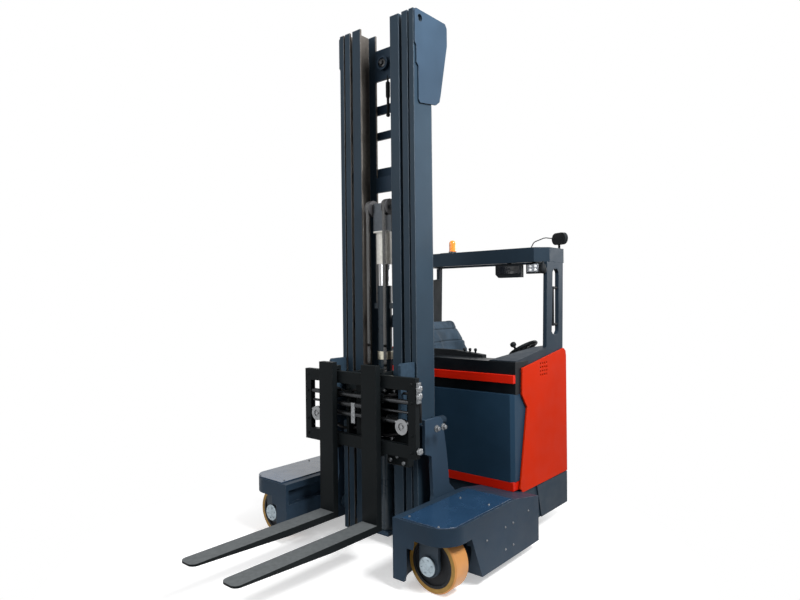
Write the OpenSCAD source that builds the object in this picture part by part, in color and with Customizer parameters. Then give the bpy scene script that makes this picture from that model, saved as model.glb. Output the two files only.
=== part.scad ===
// Four-way reach truck: a triplex mast on a reach carriage between two outrigger legs.
// Millimetres. X is across the truck, Y runs from the forks to the rear, Z is up.

/* [Outriggers] */
// half width over the legs
leg_out = 895; // [850:5:950]
// half gap between the legs
leg_in = 490; // [480:2:510]
// height of the top of the legs
leg_top = 420; // [410:5:440]
// ground clearance of the legs
leg_bottom = 60; // [40:5:90]
// front face of the legs ahead of the load axle
leg_nose = 155; // [140:5:170]
// radius of the outer front corner of a leg
leg_round = 150; // [100:5:170]
// height of the wheel opening
arch_top = 316; // [300:2:330]
// top plate thickness of a leg
leg_plate = 40; // [24:2:44]
// glossy cover plate on a leg
cover_t = 6; // [3:1:10]

/* [Load wheels] */
// load wheel diameter
wheel_d = 343; // [320:1:350]
// load wheel tread width
wheel_w = 132; // [110:2:140]
// steer axis of a load wheel in from the outer face of its leg
steer_inset = 185; // [180:1:190]
// tread thickness on the hub
tread_t = 32; // [20:1:45]
// radius of the wheel axle
axle_r = 28; // [20:1:36]
// radius of the steer pin
king_r = 45; // [35:1:60]
// thickness of a wheel fork arm
arm_t = 22; // [16:1:26]

/* [Body] */
// half width of the body
body_half = 772; // [740:2:790]
// front face of the body behind the load axle
body_front = 803; // [790:2:830]
// rear face of the body behind the load axle
body_rear = 1607; // [1560:5:1660]
// lower edge of the body skirt
skirt_bottom = 110; // [90:5:140]
// top of the dark skirt
skirt_top = 356; // [340:2:370]
// sheet thickness of the body panels
sheet_t = 12; // [8:1:16]
// battery height
battery_h = 600; // [540:5:620]
// battery depth
battery_d = 190; // [150:5:200]
// height of the upper front rail
rail_h = 56; // [40:2:70]
// height of the cab floor
floor_z = 440; // [430:2:460]
// left wall of the cab
cab_left = 385; // [360:5:400]

/* [Cab] */
// top of the seat back
seat_top = 1530; // [1480:5:1560]
// top of the seat cushion
seat_z = 1000; // [960:5:1020]
// width of the seat
seat_w = 470; // [420:5:480]
// diameter of the steering wheel
hand_wheel_d = 250; // [200:5:280]
// top of the overhead guard
guard_top = 2085; // [2050:5:2150]
// depth of the front beam of the guard
beam_h = 110; // [80:2:120]
// thickness of a guard post
post_t = 30; // [20:1:40]

/* [Mast] */
// height of the lowered mast
mast_top = 3628; // [3500:4:3700]
// lower end of the mast rails
mast_bottom = 44; // [40:1:60]
// front plane of the mast behind the load axle
mast_front = 272; // [270:1:280]
// web and flange thickness of the mast rails
rail_t = 12; // [10:1:13]
// outer rail half spacing over the webs
outer_half = 344; // [340:1:348]
// middle rail half spacing over the webs
middle_half = 292; // [288:1:294]
// inner rail half spacing over the webs
inner_half = 217; // [212:1:220]
// depth of the outer rails
outer_d = 190; // [186:1:192]
// radius of the lifting eyes
eye_r = 24; // [18:1:28]
// free lift cylinder diameter
free_d = 100; // [80:1:104]
// main lift cylinder diameter
raise_d = 54; // [44:1:56]
// main lift rod diameter
raise_rod_d = 36; // [28:1:40]

/* [Carriage and forks] */
// half width of the fork carriage
carriage_half = 508; // [500:1:515]
// lower edge of the fork carriage
carriage_bottom = 714; // [700:2:740]
// upper edge of the fork carriage
carriage_top = 1216; // [1200:2:1240]
// fork width
fork_w = 130; // [100:2:140]
// fork thickness at the heel
fork_t = 45; // [35:1:50]
// fork blade length ahead of the shank
fork_len = 1064; // [1000:2:1200]
// top of the fork blades as parked
fork_z = 260; // [250:2:280]
// centre of the right fork
fork_right_x = 160; // [150:1:200]
// centre of the left fork
fork_left_x = -240; // [-260:1:-200]

/* [Clearances] */
// gap between moving pieces
run_gap = 6; // [5:0.5:8]
// gap between seated pieces
seat_gap = 0.3; // [0.2:0.05:0.5]
// gap of a roller in its rail
guide_gap = 0.5; // [0.3:0.1:0.8]
// radial gap of a pin or rod in its bore
pin_gap = 0.5; // [0.3:0.1:0.8]

/* [Hidden] */
$fn = 48;
wheel_r = wheel_d / 2;
frame_y = 50;
frame_t = 40;
shank_y = frame_y - run_gap - fork_t;
tip_y = shank_y - fork_len;
axle_y = -(tip_y + body_rear) / 2;
leg_rear = 890;
steer_x = leg_out - steer_inset;
arch_in = [138, 50];
arch_side = [184, 76];
leg_w = leg_out - leg_in;
hub_r = wheel_r - tread_t;
sweep_r = sqrt(wheel_r * wheel_r + wheel_w * wheel_w / 4);
well_r = sweep_r + run_gap + 2;
arm_in = wheel_w / 2 + run_gap;
arm_out = arm_in + arm_t;
crown_z = wheel_d + run_gap + 1;
plate_z = leg_top - leg_plate;
crown_t = plate_z - run_gap - crown_z;
track_z = 325;
track_r = 50;
well_step = 262;
track_x = leg_in + 46;
panel_in = body_half - sheet_t;
rail1_z = 380;
rail2_z = 440;
base_half = panel_in - seat_gap;
reach_cyl_x = 330;
reach_cyl_z = 200;
barrel_r = 31;
battery_top = rail2_z + seat_gap + battery_h;
upper_rail_z = 1118;
deck_z = upper_rail_z + rail_h;
wall_y = body_front + battery_d + seat_gap;
deck_top = deck_z + 88;
floor_t = 20;
drive_hole = 215;
dash_lo = [base_half - 340, 1190];
dash_hi = [base_half - 100, 1335];
dash_foot = base_half - 120;
dash_under = dash_lo[1] - 50;
// front edge of a side panel from the bottom up, and its sloping top
panel_front = [[868, 385], [975, 936], [905, 1030], [912, 1215]];
panel_rear = [[body_rear - 42, 1312], [body_rear - 9, 1290], [body_rear, 1250]];
console_y = body_front + 45;
arm_end = dash_lo[0] - 40;
vent_y = 1180;
vent_z = 1140;
vent_pitch = [32, 28];
vent_r = 9;
seat_y = 1330;
roof_front = 1280;
roof_left = cab_left + 35;
roof_right = body_half - 12;
roof_cut = 85;
roof_edge = 60;
roof_bars = 7;
roof_bar_w = 34;
beacon_x = -175;
beacon_y = 1430;
lamp_y = roof_front + 20;
post_rear = 1594;
post_foot = 1572;
post_knee = 1320;
lamp_x = base_half - 162;
lamp_w = 113;
screen_x = lamp_x - 263;
screen_w = 225;
slot_z = [1425, 1925];
slot_front = 1390;
slot_rear = 1505;
slot_round = 25;
handle_z = [1500, 1780];
handle_y = 1440;
handle_r = 11;
roof_z = guard_top - beam_h;
post_front = 1300;
slim_y = 1548;
slim_z = 1850;
drive_y = 1300;
drive_w = 135;
outer_rear = mast_front + outer_d;
middle_rear = outer_rear - 7;
inner_rear = outer_rear - 15;
outer_flange = 38;
middle_flange = 49;
inner_flange = 77;
rail_mid = (mast_front + inner_rear) / 2;
tilt_y = 362;
tilt_z = 200;
reach_x = 425;
reach_t = 25;
// foot, knee and head of a reach pillar
reach_foot = [270, 545];
reach_knee = [285, 450];
reach_head = [219, 412];
reach_low = 90;
reach_step = leg_top;
reach_neck = 680;
reach_top = 924;
lean_x = 388;
lean_y = 300;
lean_z = 880;
lean_r = 30;
lean_rod_r = 16;
lean_pin_r = 20;
roller_ys = [330, 490];
tilt_r = 30;
raise_x = 262;
bar_rear = 501;
raise_y = bar_rear + seat_gap + raise_d / 2;
raise_z = 340;
raise_h = mast_top - raise_z - 578;
lug_z = mast_top - 288;
lug_h = 60;
eye_y = mast_front + 58;
eye_z = mast_top - 53;
// lower edge and height of each crossbar
outer_bar_rows = [[330, 90], [1500, 90], [mast_top - 748, 56], [mast_top - 562, 64]];
middle_bar_rows = [[440, 90], [mast_top - 1038, 70], [lug_z, lug_h]];
inner_bar_rows = [[60, 120], [mast_top - 1148, 110], [mast_top - 338, 220]];
bar_front = 481;
middle_bar_rear = 473;
inner_bar_front = 425;
top_sheave_r = 50;
free_y = 350;
chain_x = 75;
sheave_r = 56;
sheave_z = 2345;
sheave_y = 310;
wrap_r = sheave_r - 10 + seat_gap;
plate_x = 110;
plate_t = 22;
wing_x = 309;
wing_top = carriage_top + 72;
wing_rear = mast_front - run_gap;
shaft_r = 16;
shaft_zs = [930, 1060];
end_w = 59;
disc_x = 392;
disc_z = 903;
disc_r = 50;
hook_t = 20;
hook_in = 34;
hook_step = 30;
hook_top = 1279;
hook_drop = 24;
hook_y = frame_y + frame_t + run_gap + hook_t;
lug_half = 30;
wheel_back = 1440;
wheel_up = 100;
shaft_y = frame_y + frame_t / 2;

module place() {
  translate([0, axle_y, 0]) children();
}

module both() {
  children();
  mirror([1, 0, 0]) children();
}

// a box from its low and high corners
module span(a, b) {
  translate(a) cube([b[0] - a[0], b[1] - a[1], b[2] - a[2]]);
}

// a cylinder along X from x0 to x1
module bar_x(x0, x1, r, y, z) {
  translate([x0, y, z]) rotate([0, 90, 0]) cylinder(r = r, h = x1 - x0);
}

// a cylinder along Y from y0 to y1
module bar_y(y0, y1, r, x, z) {
  translate([x, y0, z]) rotate([-90, 0, 0]) cylinder(r = r, h = y1 - y0);
}

// a plate in the Y-Z plane from x0 to x1
module side_plate(x0, x1, pts) {
  translate([x0, 0, 0]) rotate([90, 0, 90]) linear_extrude(x1 - x0) polygon(pts);
}

// a plate in the X-Z plane from y0 to y1
module front_plate(y0, y1, pts) {
  translate([0, y1, 0]) rotate([90, 0, 0]) linear_extrude(y1 - y0) polygon(pts);
}

module leg_plan() {
  difference() {
    translate([leg_in, -leg_nose]) square([leg_w, leg_nose + leg_rear]);
    translate([leg_out - leg_round, -leg_nose - 1]) square([leg_round + 1, leg_round + 1]);
  }
  translate([leg_out - leg_round, leg_round - leg_nose]) circle(r = leg_round);
}

module leg_solid() {
  difference() {
    translate([0, 0, leg_bottom]) linear_extrude(leg_top - leg_bottom) leg_plan();
    translate([steer_x, 0, leg_bottom - 1]) cylinder(r = well_r, h = well_step - leg_bottom + 1);
    translate([steer_x, 0, well_step - 1]) cylinder(r = 165, h = arch_top - well_step + 1);
    translate([steer_x, 0, arch_top - 1]) cylinder(r = 140, h = plate_z - arch_top + 1);
    front_plate(-leg_nose - 1, -20, [[steer_x - arch_in[0], leg_bottom - 1], [steer_x - arch_in[1], arch_top],
      [steer_x, arch_top], [steer_x, leg_bottom - 1]]);
    side_plate(steer_x, leg_out + 1, [[-leg_nose - 1, leg_bottom - 1], [-leg_nose - 1, arch_top],
      [arch_side[1], arch_top], [arch_side[0], leg_bottom - 1]]);
    translate([steer_x, 0, plate_z - 1]) cylinder(r = king_r + pin_gap, h = leg_plate + 2);
    span([leg_in - 1, -leg_nose + 25, track_z - track_r - guide_gap],
      [track_x, 730, track_z + track_r + guide_gap]);
    side_plate(leg_in - 1, leg_out + 1, [[570, leg_top], [570, leg_top + 1],
      [leg_rear + 1, leg_top + 1], [leg_rear + 1, 363]]);
  }
}

module leg_right() {
  place() color("#33475c") leg_solid();
}

module leg_left() {
  place() color("#33475c") mirror([1, 0, 0]) leg_solid();
}

module leg_covers() {
  place() color("#46617c") both() translate([0, 0, leg_top + seat_gap]) linear_extrude(cover_t)
    intersection() {
      leg_plan();
      translate([leg_in + 60, 12 - leg_nose]) square([leg_w - 72, 540 + leg_nose]);
    }
}

module load_tyre() {
  translate([steer_x, 0, wheel_r]) rotate([90, 0, 0]) translate([0, 0, -wheel_w / 2])
    rotate_extrude() polygon([[hub_r, 0], [wheel_r - 8, 0], [wheel_r, 8], [wheel_r, wheel_w - 8],
      [wheel_r - 8, wheel_w], [hub_r, wheel_w]]);
}

module load_hub() {
  translate([steer_x, 0, wheel_r]) rotate([90, 0, 0]) difference() {
    translate([0, 0, -wheel_w / 2]) cylinder(r = hub_r - seat_gap, h = wheel_w);
    translate([0, 0, -wheel_w]) cylinder(r = axle_r + pin_gap, h = 2 * wheel_w);
    for (s = [-1, 1]) translate([0, 0, s * wheel_w / 2 - 12]) difference() {
      cylinder(r = hub_r - 16, h = 24);
      translate([0, 0, -1]) cylinder(r = axle_r + 34, h = 26);
    }
  }
}

module load_tyre_right() {
  place() color("#eba54b") load_tyre();
}

module load_tyre_left() {
  place() color("#eba54b") mirror([1, 0, 0]) load_tyre();
}

module load_hub_right() {
  place() color("#3c4046") load_hub();
}

module load_hub_left() {
  place() color("#3c4046") mirror([1, 0, 0]) load_hub();
}

module wheel_arm() {
  translate([0, arm_out, 0]) rotate([90, 0, 0]) linear_extrude(arm_t) {
    translate([0, wheel_r]) circle(r = 68);
    translate([-68, wheel_r]) square([136, crown_z - wheel_r + 1]);
  }
}

module knuckle() {
  translate([steer_x, 0, 0]) {
    for (a = [0, 180]) rotate([0, 0, a]) wheel_arm();
    translate([-80, -arm_out, crown_z]) cube([160, 2 * arm_out, crown_t]);
    translate([0, 0, crown_z + 1]) cylinder(r = king_r, h = leg_top - 3 - crown_z);
    bar_y(-arm_out - 14, arm_out + 14, axle_r, 0, wheel_r);
    for (s = [-1, 1]) translate([0, s * (arm_out + 6), wheel_r]) rotate([90, 0, 0])
      cylinder(r = 58, h = 14, center = true);
  }
}

module knuckle_right() {
  place() color("#78878c") knuckle();
}

module knuckle_left() {
  place() color("#78878c") mirror([1, 0, 0]) knuckle();
}

module chassis_base() {
  wall_in = base_half - floor_t;
  tongue = leg_in - 10;
  tongue_in = tongue - floor_t;
  tub_top = skirt_top - 6;
  front = leg_rear + seat_gap;
  nose = body_front + 10;
  hole_y = [drive_y - drive_hole, drive_y + drive_hole];
  floor_top = skirt_bottom + floor_t;
  place() color("#26303a") {
    both() span([wall_in, front, skirt_bottom], [base_half, body_rear, tub_top]);
    both() side_plate(base_half + seat_gap, body_half - 2, [[1178, skirt_bottom], [1113, tub_top],
      [body_rear, tub_top], [body_rear, skirt_bottom]]);
    span([seat_gap - wall_in, body_rear - floor_t, skirt_bottom], [wall_in - seat_gap, body_rear, tub_top]);
    both() span([tongue_in, nose, skirt_bottom], [tongue, front - seat_gap, tub_top]);
    both() span([tongue_in, front, skirt_bottom], [wall_in - seat_gap, front + floor_t, tub_top]);
    difference() {
      span([seat_gap - tongue_in, nose, skirt_bottom], [tongue_in - seat_gap, nose + floor_t, tub_top]);
      both() bar_y(body_front, body_front + 40, barrel_r + seat_gap, reach_cyl_x, reach_cyl_z);
    }
    span([seat_gap - tongue_in, nose + floor_t + seat_gap, skirt_bottom],
      [tongue_in - seat_gap, front + floor_t, floor_top]);
    span([seat_gap - wall_in, front + floor_t + seat_gap, skirt_bottom],
      [wall_in - seat_gap, hole_y[0], floor_top]);
    span([seat_gap - wall_in, hole_y[1], skirt_bottom],
      [wall_in - seat_gap, body_rear - floor_t - seat_gap, floor_top]);
    both() span([drive_hole, hole_y[0] + seat_gap, skirt_bottom],
      [wall_in - seat_gap, hole_y[1] - seat_gap, floor_top]);
    difference() {
      union() {
        span([-base_half, front, tub_top + seat_gap],
          [base_half, body_rear - sheet_t - seat_gap, rail1_z - seat_gap]);
        span([-tongue, nose, tub_top + seat_gap], [tongue, leg_rear + 1, rail1_z - seat_gap]);
      }
      translate([0, drive_y, tub_top - 2]) cylinder(r = 140 + pin_gap, h = 40);
    }
  }
}

module body_panels() {
  front = leg_rear + seat_gap;
  place() color("#e13c14") both() difference() {
    side_plate(panel_in, body_half, concat([[front, skirt_top], [front, panel_front[0][1] - 13]], panel_front,
      panel_rear, [[body_rear, skirt_top]]));
    for (i = [0 : 3], j = [0 : 3])
      bar_x(panel_in - 1, body_half + 1, vent_r, vent_y + i * vent_pitch[0], vent_z + j * vent_pitch[1]);
  }
  place() color("#e13c14") {
    span([-panel_in + seat_gap, body_rear - sheet_t, skirt_top],
      [-cab_left - 20, body_rear, panel_rear[2][1] - 2]);
    span([-cab_left - 21, body_rear - sheet_t, skirt_top], [panel_in - seat_gap, body_rear, floor_z - 4]);
  }
}

module battery() {
  place() color("#192a38") difference() {
    span([-base_half + 4, body_front, rail2_z + seat_gap],
      [base_half - 4, body_front + battery_d, battery_top]);
    for (s = [-1, 1]) translate([s * (base_half - 4), body_front, rail2_z]) rotate([0, 0, 45])
      cube([34, 34, 3 * battery_h], center = true);
  }
}

module front_rails() {
  place() color("#d71905") {
    span([-base_half + 8, body_front, rail1_z], [base_half - 8, body_front + battery_d, rail2_z]);
    span([-base_half, body_front, upper_rail_z], [base_half, body_front + 30, deck_z]);
  }
}

module deck_hood() {
  side_in = -cab_left - 20 - post_t - 2 * seat_gap;
  rear = body_rear - sheet_t - seat_gap;
  place() color("#20262c") {
    span([-base_half, body_front + 30 + seat_gap, battery_top + seat_gap],
      [base_half, body_front + battery_d, deck_top]);
    side_plate(-base_half, side_in, [[wall_y, rail1_z], [wall_y, panel_front[3][1]],
      [panel_rear[0][0], panel_rear[0][1] - 12], [rear, panel_rear[2][1]], [rear, rail1_z]]);
  }
}

module cab_walls() {
  place() color("#2c3238") {
    span([-cab_left - 20, wall_y, rail1_z], [base_half, body_rear - sheet_t - seat_gap, floor_z - seat_gap]);
    span([-cab_left + seat_gap, wall_y, floor_z], [base_half, wall_y + 20, deck_top]);
    span([-cab_left - 20, wall_y, floor_z], [-cab_left, body_rear - 60, 1870]);
  }
}

module dash() {
  side = base_half - post_t - seat_gap;
  low = deck_top + seat_gap;
  place() color("#23282d") {
    difference() {
      intersection() {
        front_plate(console_y, post_front - seat_gap, [[base_half, floor_z], [base_half, dash_hi[1]],
          dash_hi, dash_lo, [dash_lo[0], dash_under], [dash_foot, dash_under - 40], [dash_foot, floor_z]]);
        side_plate(0, base_half + 1, [[console_y, floor_z - 1], [console_y, low + 6],
          [post_front, dash_hi[1]], [post_front, floor_z - 1]]);
      }
      span([0, body_front, floor_z - 1], [base_half + 1, wall_y + 20 + seat_gap, low]);
    }
    front_plate(post_front, body_rear - 60, [[side, dash_under], [side, dash_hi[1]], dash_hi, dash_lo,
      [dash_lo[0], dash_under]]);
  }
}

module seat_base() {
  place() color("#2a2d30") span([-320, seat_y - seat_w / 2 + 30, floor_z],
    [120, seat_y + seat_w / 2 - 30, seat_z - 130]);
}

module seat_cushion() {
  place() color("#1d1e20") span([-190, seat_y - seat_w / 2, seat_z - 130 + 2 * seat_gap],
    [250, seat_y + seat_w / 2, seat_z]);
}

module seat_back() {
  low = seat_z - 130 + 2 * seat_gap;
  place() color("#1d1e20") front_plate(seat_y - seat_w / 2, seat_y + seat_w / 2, [[-315, low], [-200, low],
    [-200, seat_z + 8], [-95, seat_z + 30], [-85, seat_top - 230], [-150, seat_top - 110],
    [-240, seat_top - 14], [-262, seat_top], [-322, seat_top], [-340, seat_top - 22]]);
}

module armrest() {
  top = deck_top + 45;
  place() color("#17191b") {
    front_plate(wall_y + 26, wall_y + 78, [[-300, deck_top - 47], [-300, top - 12], [-288, top], [120, top],
      [arm_end, deck_top + 18], [arm_end, deck_top - 47]]);
    span([-60, wall_y + 20 + seat_gap, deck_top - 112], [0, wall_y + 70, deck_top - 46]);
    for (i = [0 : 2]) translate([arm_end - 80 - 50 * i, wall_y + 52, deck_top + 8]) cylinder(r = 7, h = 34);
  }
}

module guard_post(x) {
  side_plate(x, x + post_t, [[post_front, floor_z], [post_front, post_knee],
    [post_front + 25, roof_z - seat_gap], [post_rear, roof_z - seat_gap], [post_foot, post_knee],
    [post_foot, floor_z]]);
}

module guard_posts() {
  low = slot_z[0] + slot_round;
  high = slot_z[1] - slot_round;
  left = -cab_left - 20 - seat_gap - post_t;
  place() color("#2a3644") {
    difference() {
      guard_post(base_half - post_t);
      side_plate(base_half - post_t - 1, base_half + 1, [[slot_front, low],
        [slot_front + slot_round, slot_z[0]], [slot_rear - slot_round, slot_z[0]], [slot_rear, low],
        [slot_rear + 10, high],
        [slot_rear + 10 - slot_round, slot_z[1]], [slot_front + 25 + slot_round, slot_z[1]],
        [slot_front + 25, high]]);
    }
    difference() {
      guard_post(left);
      side_plate(left - 1, left + post_t + 1, [[post_front - 1, slim_z], [slim_y, slim_z + 30],
        [slim_y, roof_z], [post_front - 1, roof_z]]);
    }
  }
}

module roof_plan(inset) {
  polygon([[inset - roof_left, roof_front + roof_cut + inset / 2],
    [roof_cut - roof_left + inset / 2, roof_front + inset],
    [roof_right - roof_cut - inset / 2, roof_front + inset],
    [roof_right - inset, roof_front + roof_cut + inset / 2],
    [roof_right - inset, body_rear - inset], [inset - roof_left, body_rear - inset]]);
}

module guard_roof() {
  bar_y0 = roof_front + roof_edge + seat_gap;
  bar_len = body_rear - roof_front - 2 * roof_edge - 2 * seat_gap;
  first = roof_cut + roof_edge - roof_left;
  pitch = (roof_left + roof_right - 2 * roof_cut - 2 * roof_edge - roof_bar_w) / (roof_bars - 1);
  place() color("#2a3644") {
    translate([0, 0, roof_z]) linear_extrude(beam_h) difference() {
      roof_plan(0);
      roof_plan(roof_edge);
    }
    for (i = [0 : roof_bars - 1]) translate([first + i * pitch, bar_y0, guard_top - 50])
      cube([roof_bar_w, bar_len, 40]);
  }
}

module beacon() {
  place() color("#fa8214") {
    translate([beacon_x - 60, roof_front + roof_edge - 5, guard_top + seat_gap])
      cube([120, beacon_y - roof_front - roof_edge + 65, 8]);
    translate([beacon_x, beacon_y, guard_top + 6]) {
      cylinder(r = 34, h = 18);
      cylinder(r = 29, h = 86);
      translate([0, 0, 86]) sphere(r = 28.9);
    }
  }
}

module work_light() {
  place() color("#1a1c1e") translate([lamp_x, lamp_y, roof_z]) {
    span([0, 0, -87], [lamp_w, 44, -12]);
    span([lamp_w / 2 - 10, 12, -13], [lamp_w / 2 + 10, 26, -seat_gap]);
  }
}

module monitor() {
  place() color("#15171a") translate([screen_x, lamp_y, roof_z]) {
    front_plate(-12, 30, [[0, -86], [27, -112], [screen_w, -112], [screen_w, -8], [0, -8]]);
    span([screen_w / 2 - 15, 0, -9], [screen_w / 2 + 15, 20, -seat_gap]);
  }
}

module mirror_node() {
  place() color("#121416") translate([roof_right - 15, body_rear - 45, guard_top + seat_gap]) {
    cylinder(r = 9, h = 40);
    translate([0, 0, 76]) rotate([90, 0, -25]) translate([0, 0, -15]) linear_extrude(30) {
      for (x = [-24, 40]) translate([x, 0]) circle(r = 46);
      translate([-24, -46]) square([64, 92]);
    }
  }
}

module grab_handles() {
  place() color("#0e0f10") {
    translate([base_half - post_t / 2, handle_y, handle_z[0] - handle_r])
      cylinder(r = handle_r, h = handle_z[1] - handle_z[0] + 2 * handle_r);
    for (z = handle_z)
      bar_y(handle_y, slot_rear + (z - slot_z[0] - slot_round) / 45 - 2 * seat_gap, handle_r - 1,
        base_half - post_t / 2, z);
  }
}

module reach_barrels() {
  place() color("#20262c") both() difference() {
    bar_y(body_front - 12, 1400, barrel_r, reach_cyl_x, reach_cyl_z);
    bar_y(body_front - 13, 1380, raise_rod_d / 2 + pin_gap, reach_cyl_x, reach_cyl_z);
  }
}

module drive_unit() {
  arm_y = drive_w / 2 + run_gap;
  place() color("#30363c") translate([0, drive_y, 0]) {
    translate([0, 0, wheel_d + run_gap + 1]) cylinder(r = 140, h = rail1_z - 2 * run_gap - wheel_d - 1);
    for (a = [0, 180]) rotate([0, 0, a]) translate([-60, arm_y, wheel_r - 60])
      cube([120, 26, wheel_r + 60 + run_gap + 2]);
    translate([-70, -arm_y - 26, wheel_d + run_gap]) cube([140, 2 * arm_y + 52, 14]);
    bar_y(-arm_y - 30, arm_y + 30, axle_r, 0, wheel_r);
  }
}

module drive_tyre() {
  place() color("#eba54b") translate([0, drive_y, wheel_r]) rotate([90, 0, 0]) translate([0, 0, -drive_w / 2])
    rotate_extrude() polygon([[hub_r, 0], [wheel_r - 8, 0], [wheel_r, 8], [wheel_r, drive_w - 8],
      [wheel_r - 8, drive_w], [hub_r, drive_w]]);
}

module drive_hub() {
  place() color("#3c4046") translate([0, drive_y, wheel_r]) rotate([90, 0, 0]) difference() {
    translate([0, 0, -drive_w / 2]) cylinder(r = hub_r - seat_gap, h = drive_w);
    translate([0, 0, -drive_w]) cylinder(r = axle_r + pin_gap, h = 2 * drive_w);
  }
}

module reach_frame() {
  place() color("#3a4f66") {
    both() difference() {
      side_plate(reach_x, reach_x + reach_t, [[reach_head[0], reach_top], [reach_head[0], reach_neck + 25],
        [reach_knee[0], reach_neck], [reach_knee[0] + 15, reach_step], [reach_foot[0], reach_step - 120],
        [reach_foot[0], reach_low], [reach_foot[1], reach_low], [reach_foot[1], reach_step - 20],
        [reach_knee[1] + 30, reach_step + 40], [reach_knee[1], reach_neck + 10],
        [reach_head[1], reach_top - 30], [reach_head[1] - 31, reach_top]]);
      bar_x(reach_x - 1, reach_x + reach_t + 1, tilt_r + pin_gap, tilt_y, tilt_z);
    }
    both() for (y = roller_ys) bar_x(reach_x + 1, track_x - run_gap - 2, 22, y, track_z);
    span([-reach_x + seat_gap, reach_foot[1] - 30, reach_low + 10], [reach_x - seat_gap, reach_foot[1], 300]);
  }
}

module reach_rollers() {
  place() color("#8a9096") both() for (y = roller_ys) difference() {
    bar_x(leg_in + 6, track_x - run_gap, track_r, y, track_z);
    bar_x(leg_in, track_x, 22 + pin_gap, y, track_z);
  }
}

module reach_rods() {
  place() color("#c8ccd0") both() {
    bar_y(reach_foot[1] + seat_gap, 1190, raise_rod_d / 2, reach_cyl_x, reach_cyl_z);
    bar_x(lean_x - 18, reach_x - seat_gap, lean_pin_r, lean_y, lean_z);
    bar_y(lean_y, lean_y + 130, lean_rod_r, lean_x, lean_z);
  }
}

module rail_pair(half, flange, rear, z0, z1) {
  both() {
    span([half - rail_t, mast_front, z0], [half, rear, z1]);
    span([half - flange, mast_front, z0], [half - rail_t + 1, mast_front + 15, z1]);
    span([half - flange, rear - 15, z0], [half - rail_t + 1, rear, z1]);
  }
}

module outer_rails() {
  place() color("#3c5068") {
    difference() {
      rail_pair(outer_half, outer_flange, outer_rear, mast_bottom, mast_top);
      both() bar_x(outer_half - rail_t - 1, outer_half + 1, eye_r, eye_y, eye_z);
    }
    both() bar_x(outer_half - 1, reach_x + reach_t + 8, tilt_r, tilt_y, tilt_z);
    both() bar_x(outer_half - 1, reach_x - run_gap, 52, tilt_y, tilt_z);
  }
}

module outer_bars() {
  half = outer_half - 34;
  place() color("#3c5068") for (row = outer_bar_rows) {
    span([-half, bar_front, row[0]], [half, bar_rear, row[0] + row[1]]);
    both() span([half - 11, outer_rear + seat_gap, row[0]], [half, bar_front + 1, row[0] + row[1]]);
  }
}

module mast_guards() {
  front = mast_front + 3;
  rear = outer_rear + 58;
  place() color("#33475c") both() difference() {
    side_plate(outer_half + seat_gap, outer_half + rail_t, [[front + 15, mast_top], [rear + 95, mast_top],
      [rear + 115, mast_top - 28], [rear + 115, mast_top - 148], [rear + 34, mast_top - 520],
      [rear + 20, mast_top - 566], [rear - 18, mast_top - 594], [front + 50, mast_top - 618],
      [front + 35, mast_top - 598], [front + 35, mast_top - 378], [front + 15, mast_top - 358],
      [front + 15, mast_top - 248],
      [front, mast_top - 228], [front, mast_top - 18]]);
    bar_x(outer_half - 1, outer_half + rail_t + 1, eye_r, eye_y, eye_z);
  }
}

module raise_barrels() {
  place() color("#2c3a4a") both() difference() {
    translate([raise_x, raise_y, raise_z]) cylinder(r = raise_d / 2, h = raise_h);
    translate([raise_x, raise_y, raise_z + 50]) cylinder(r = raise_rod_d / 2 + pin_gap, h = raise_h);
  }
}

module tilt_barrels() {
  place() color("#2c3a4a") both() difference() {
    union() {
      bar_y(lean_y + 72, lean_y + 200, lean_r, lean_x, lean_z);
      span([outer_half + seat_gap, lean_y + 120, lean_z - 25], [lean_x + 2, lean_y + 155, lean_z + 25]);
    }
    bar_y(lean_y + 71, lean_y + 180, lean_rod_r + 8, lean_x, lean_z);
  }
}

module middle_rails() {
  place() color("#3c5068") rail_pair(middle_half, middle_flange, middle_rear, mast_bottom, mast_top);
}

module middle_bars() {
  roll_y = mast_front + outer_d / 2;
  place() color("#3c5068") {
    for (row = middle_bar_rows)
      span([-middle_half, middle_rear + seat_gap, row[0]], [middle_half, middle_bar_rear, row[0] + row[1]]);
    both() span([raise_x - 22, middle_bar_rear - 1, lug_z], [raise_x + 22, raise_y + 22, lug_z + lug_h]);
    both() for (z = [160, 760])
      bar_x(middle_half + seat_gap, outer_half - rail_t - run_gap, outer_d / 2 - 15 - guide_gap, roll_y, z);
  }
}

module raise_rods() {
  place() color("#c8ccd0") both() translate([raise_x, raise_y, 560])
    cylinder(r = raise_rod_d / 2, h = lug_z - 560 - seat_gap);
}

module inner_rails() {
  place() color("#3c5068") rail_pair(inner_half, inner_flange, inner_rear, mast_bottom, mast_top);
}

module inner_bars() {
  half = inner_half - inner_flange - seat_gap;
  roll_r = (middle_rear - mast_front) / 2 - 15 - guide_gap;
  place() color("#3c5068") {
    for (row = inner_bar_rows) span([-half, inner_bar_front, row[0]], [half, inner_rear, row[0] + row[1]]);
    translate([-half / 3, 0, inner_bar_rows[2][0] + inner_bar_rows[2][1] / 2]) difference() {
      bar_y(inner_bar_front - 30, inner_bar_front - seat_gap, top_sheave_r, 0, 0);
      bar_y(inner_bar_front - 31, inner_bar_front - 20, top_sheave_r - 14, 0, 0);
    }
    span([-free_d / 2 - 10, free_y - 60, 60], [free_d / 2 + 10, inner_bar_front + 1, 90]);
    both() for (z = [170, 770])
      bar_x(inner_half + seat_gap, middle_half - rail_t - run_gap, roll_r, (middle_rear + mast_front) / 2, z);
  }
}

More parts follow.
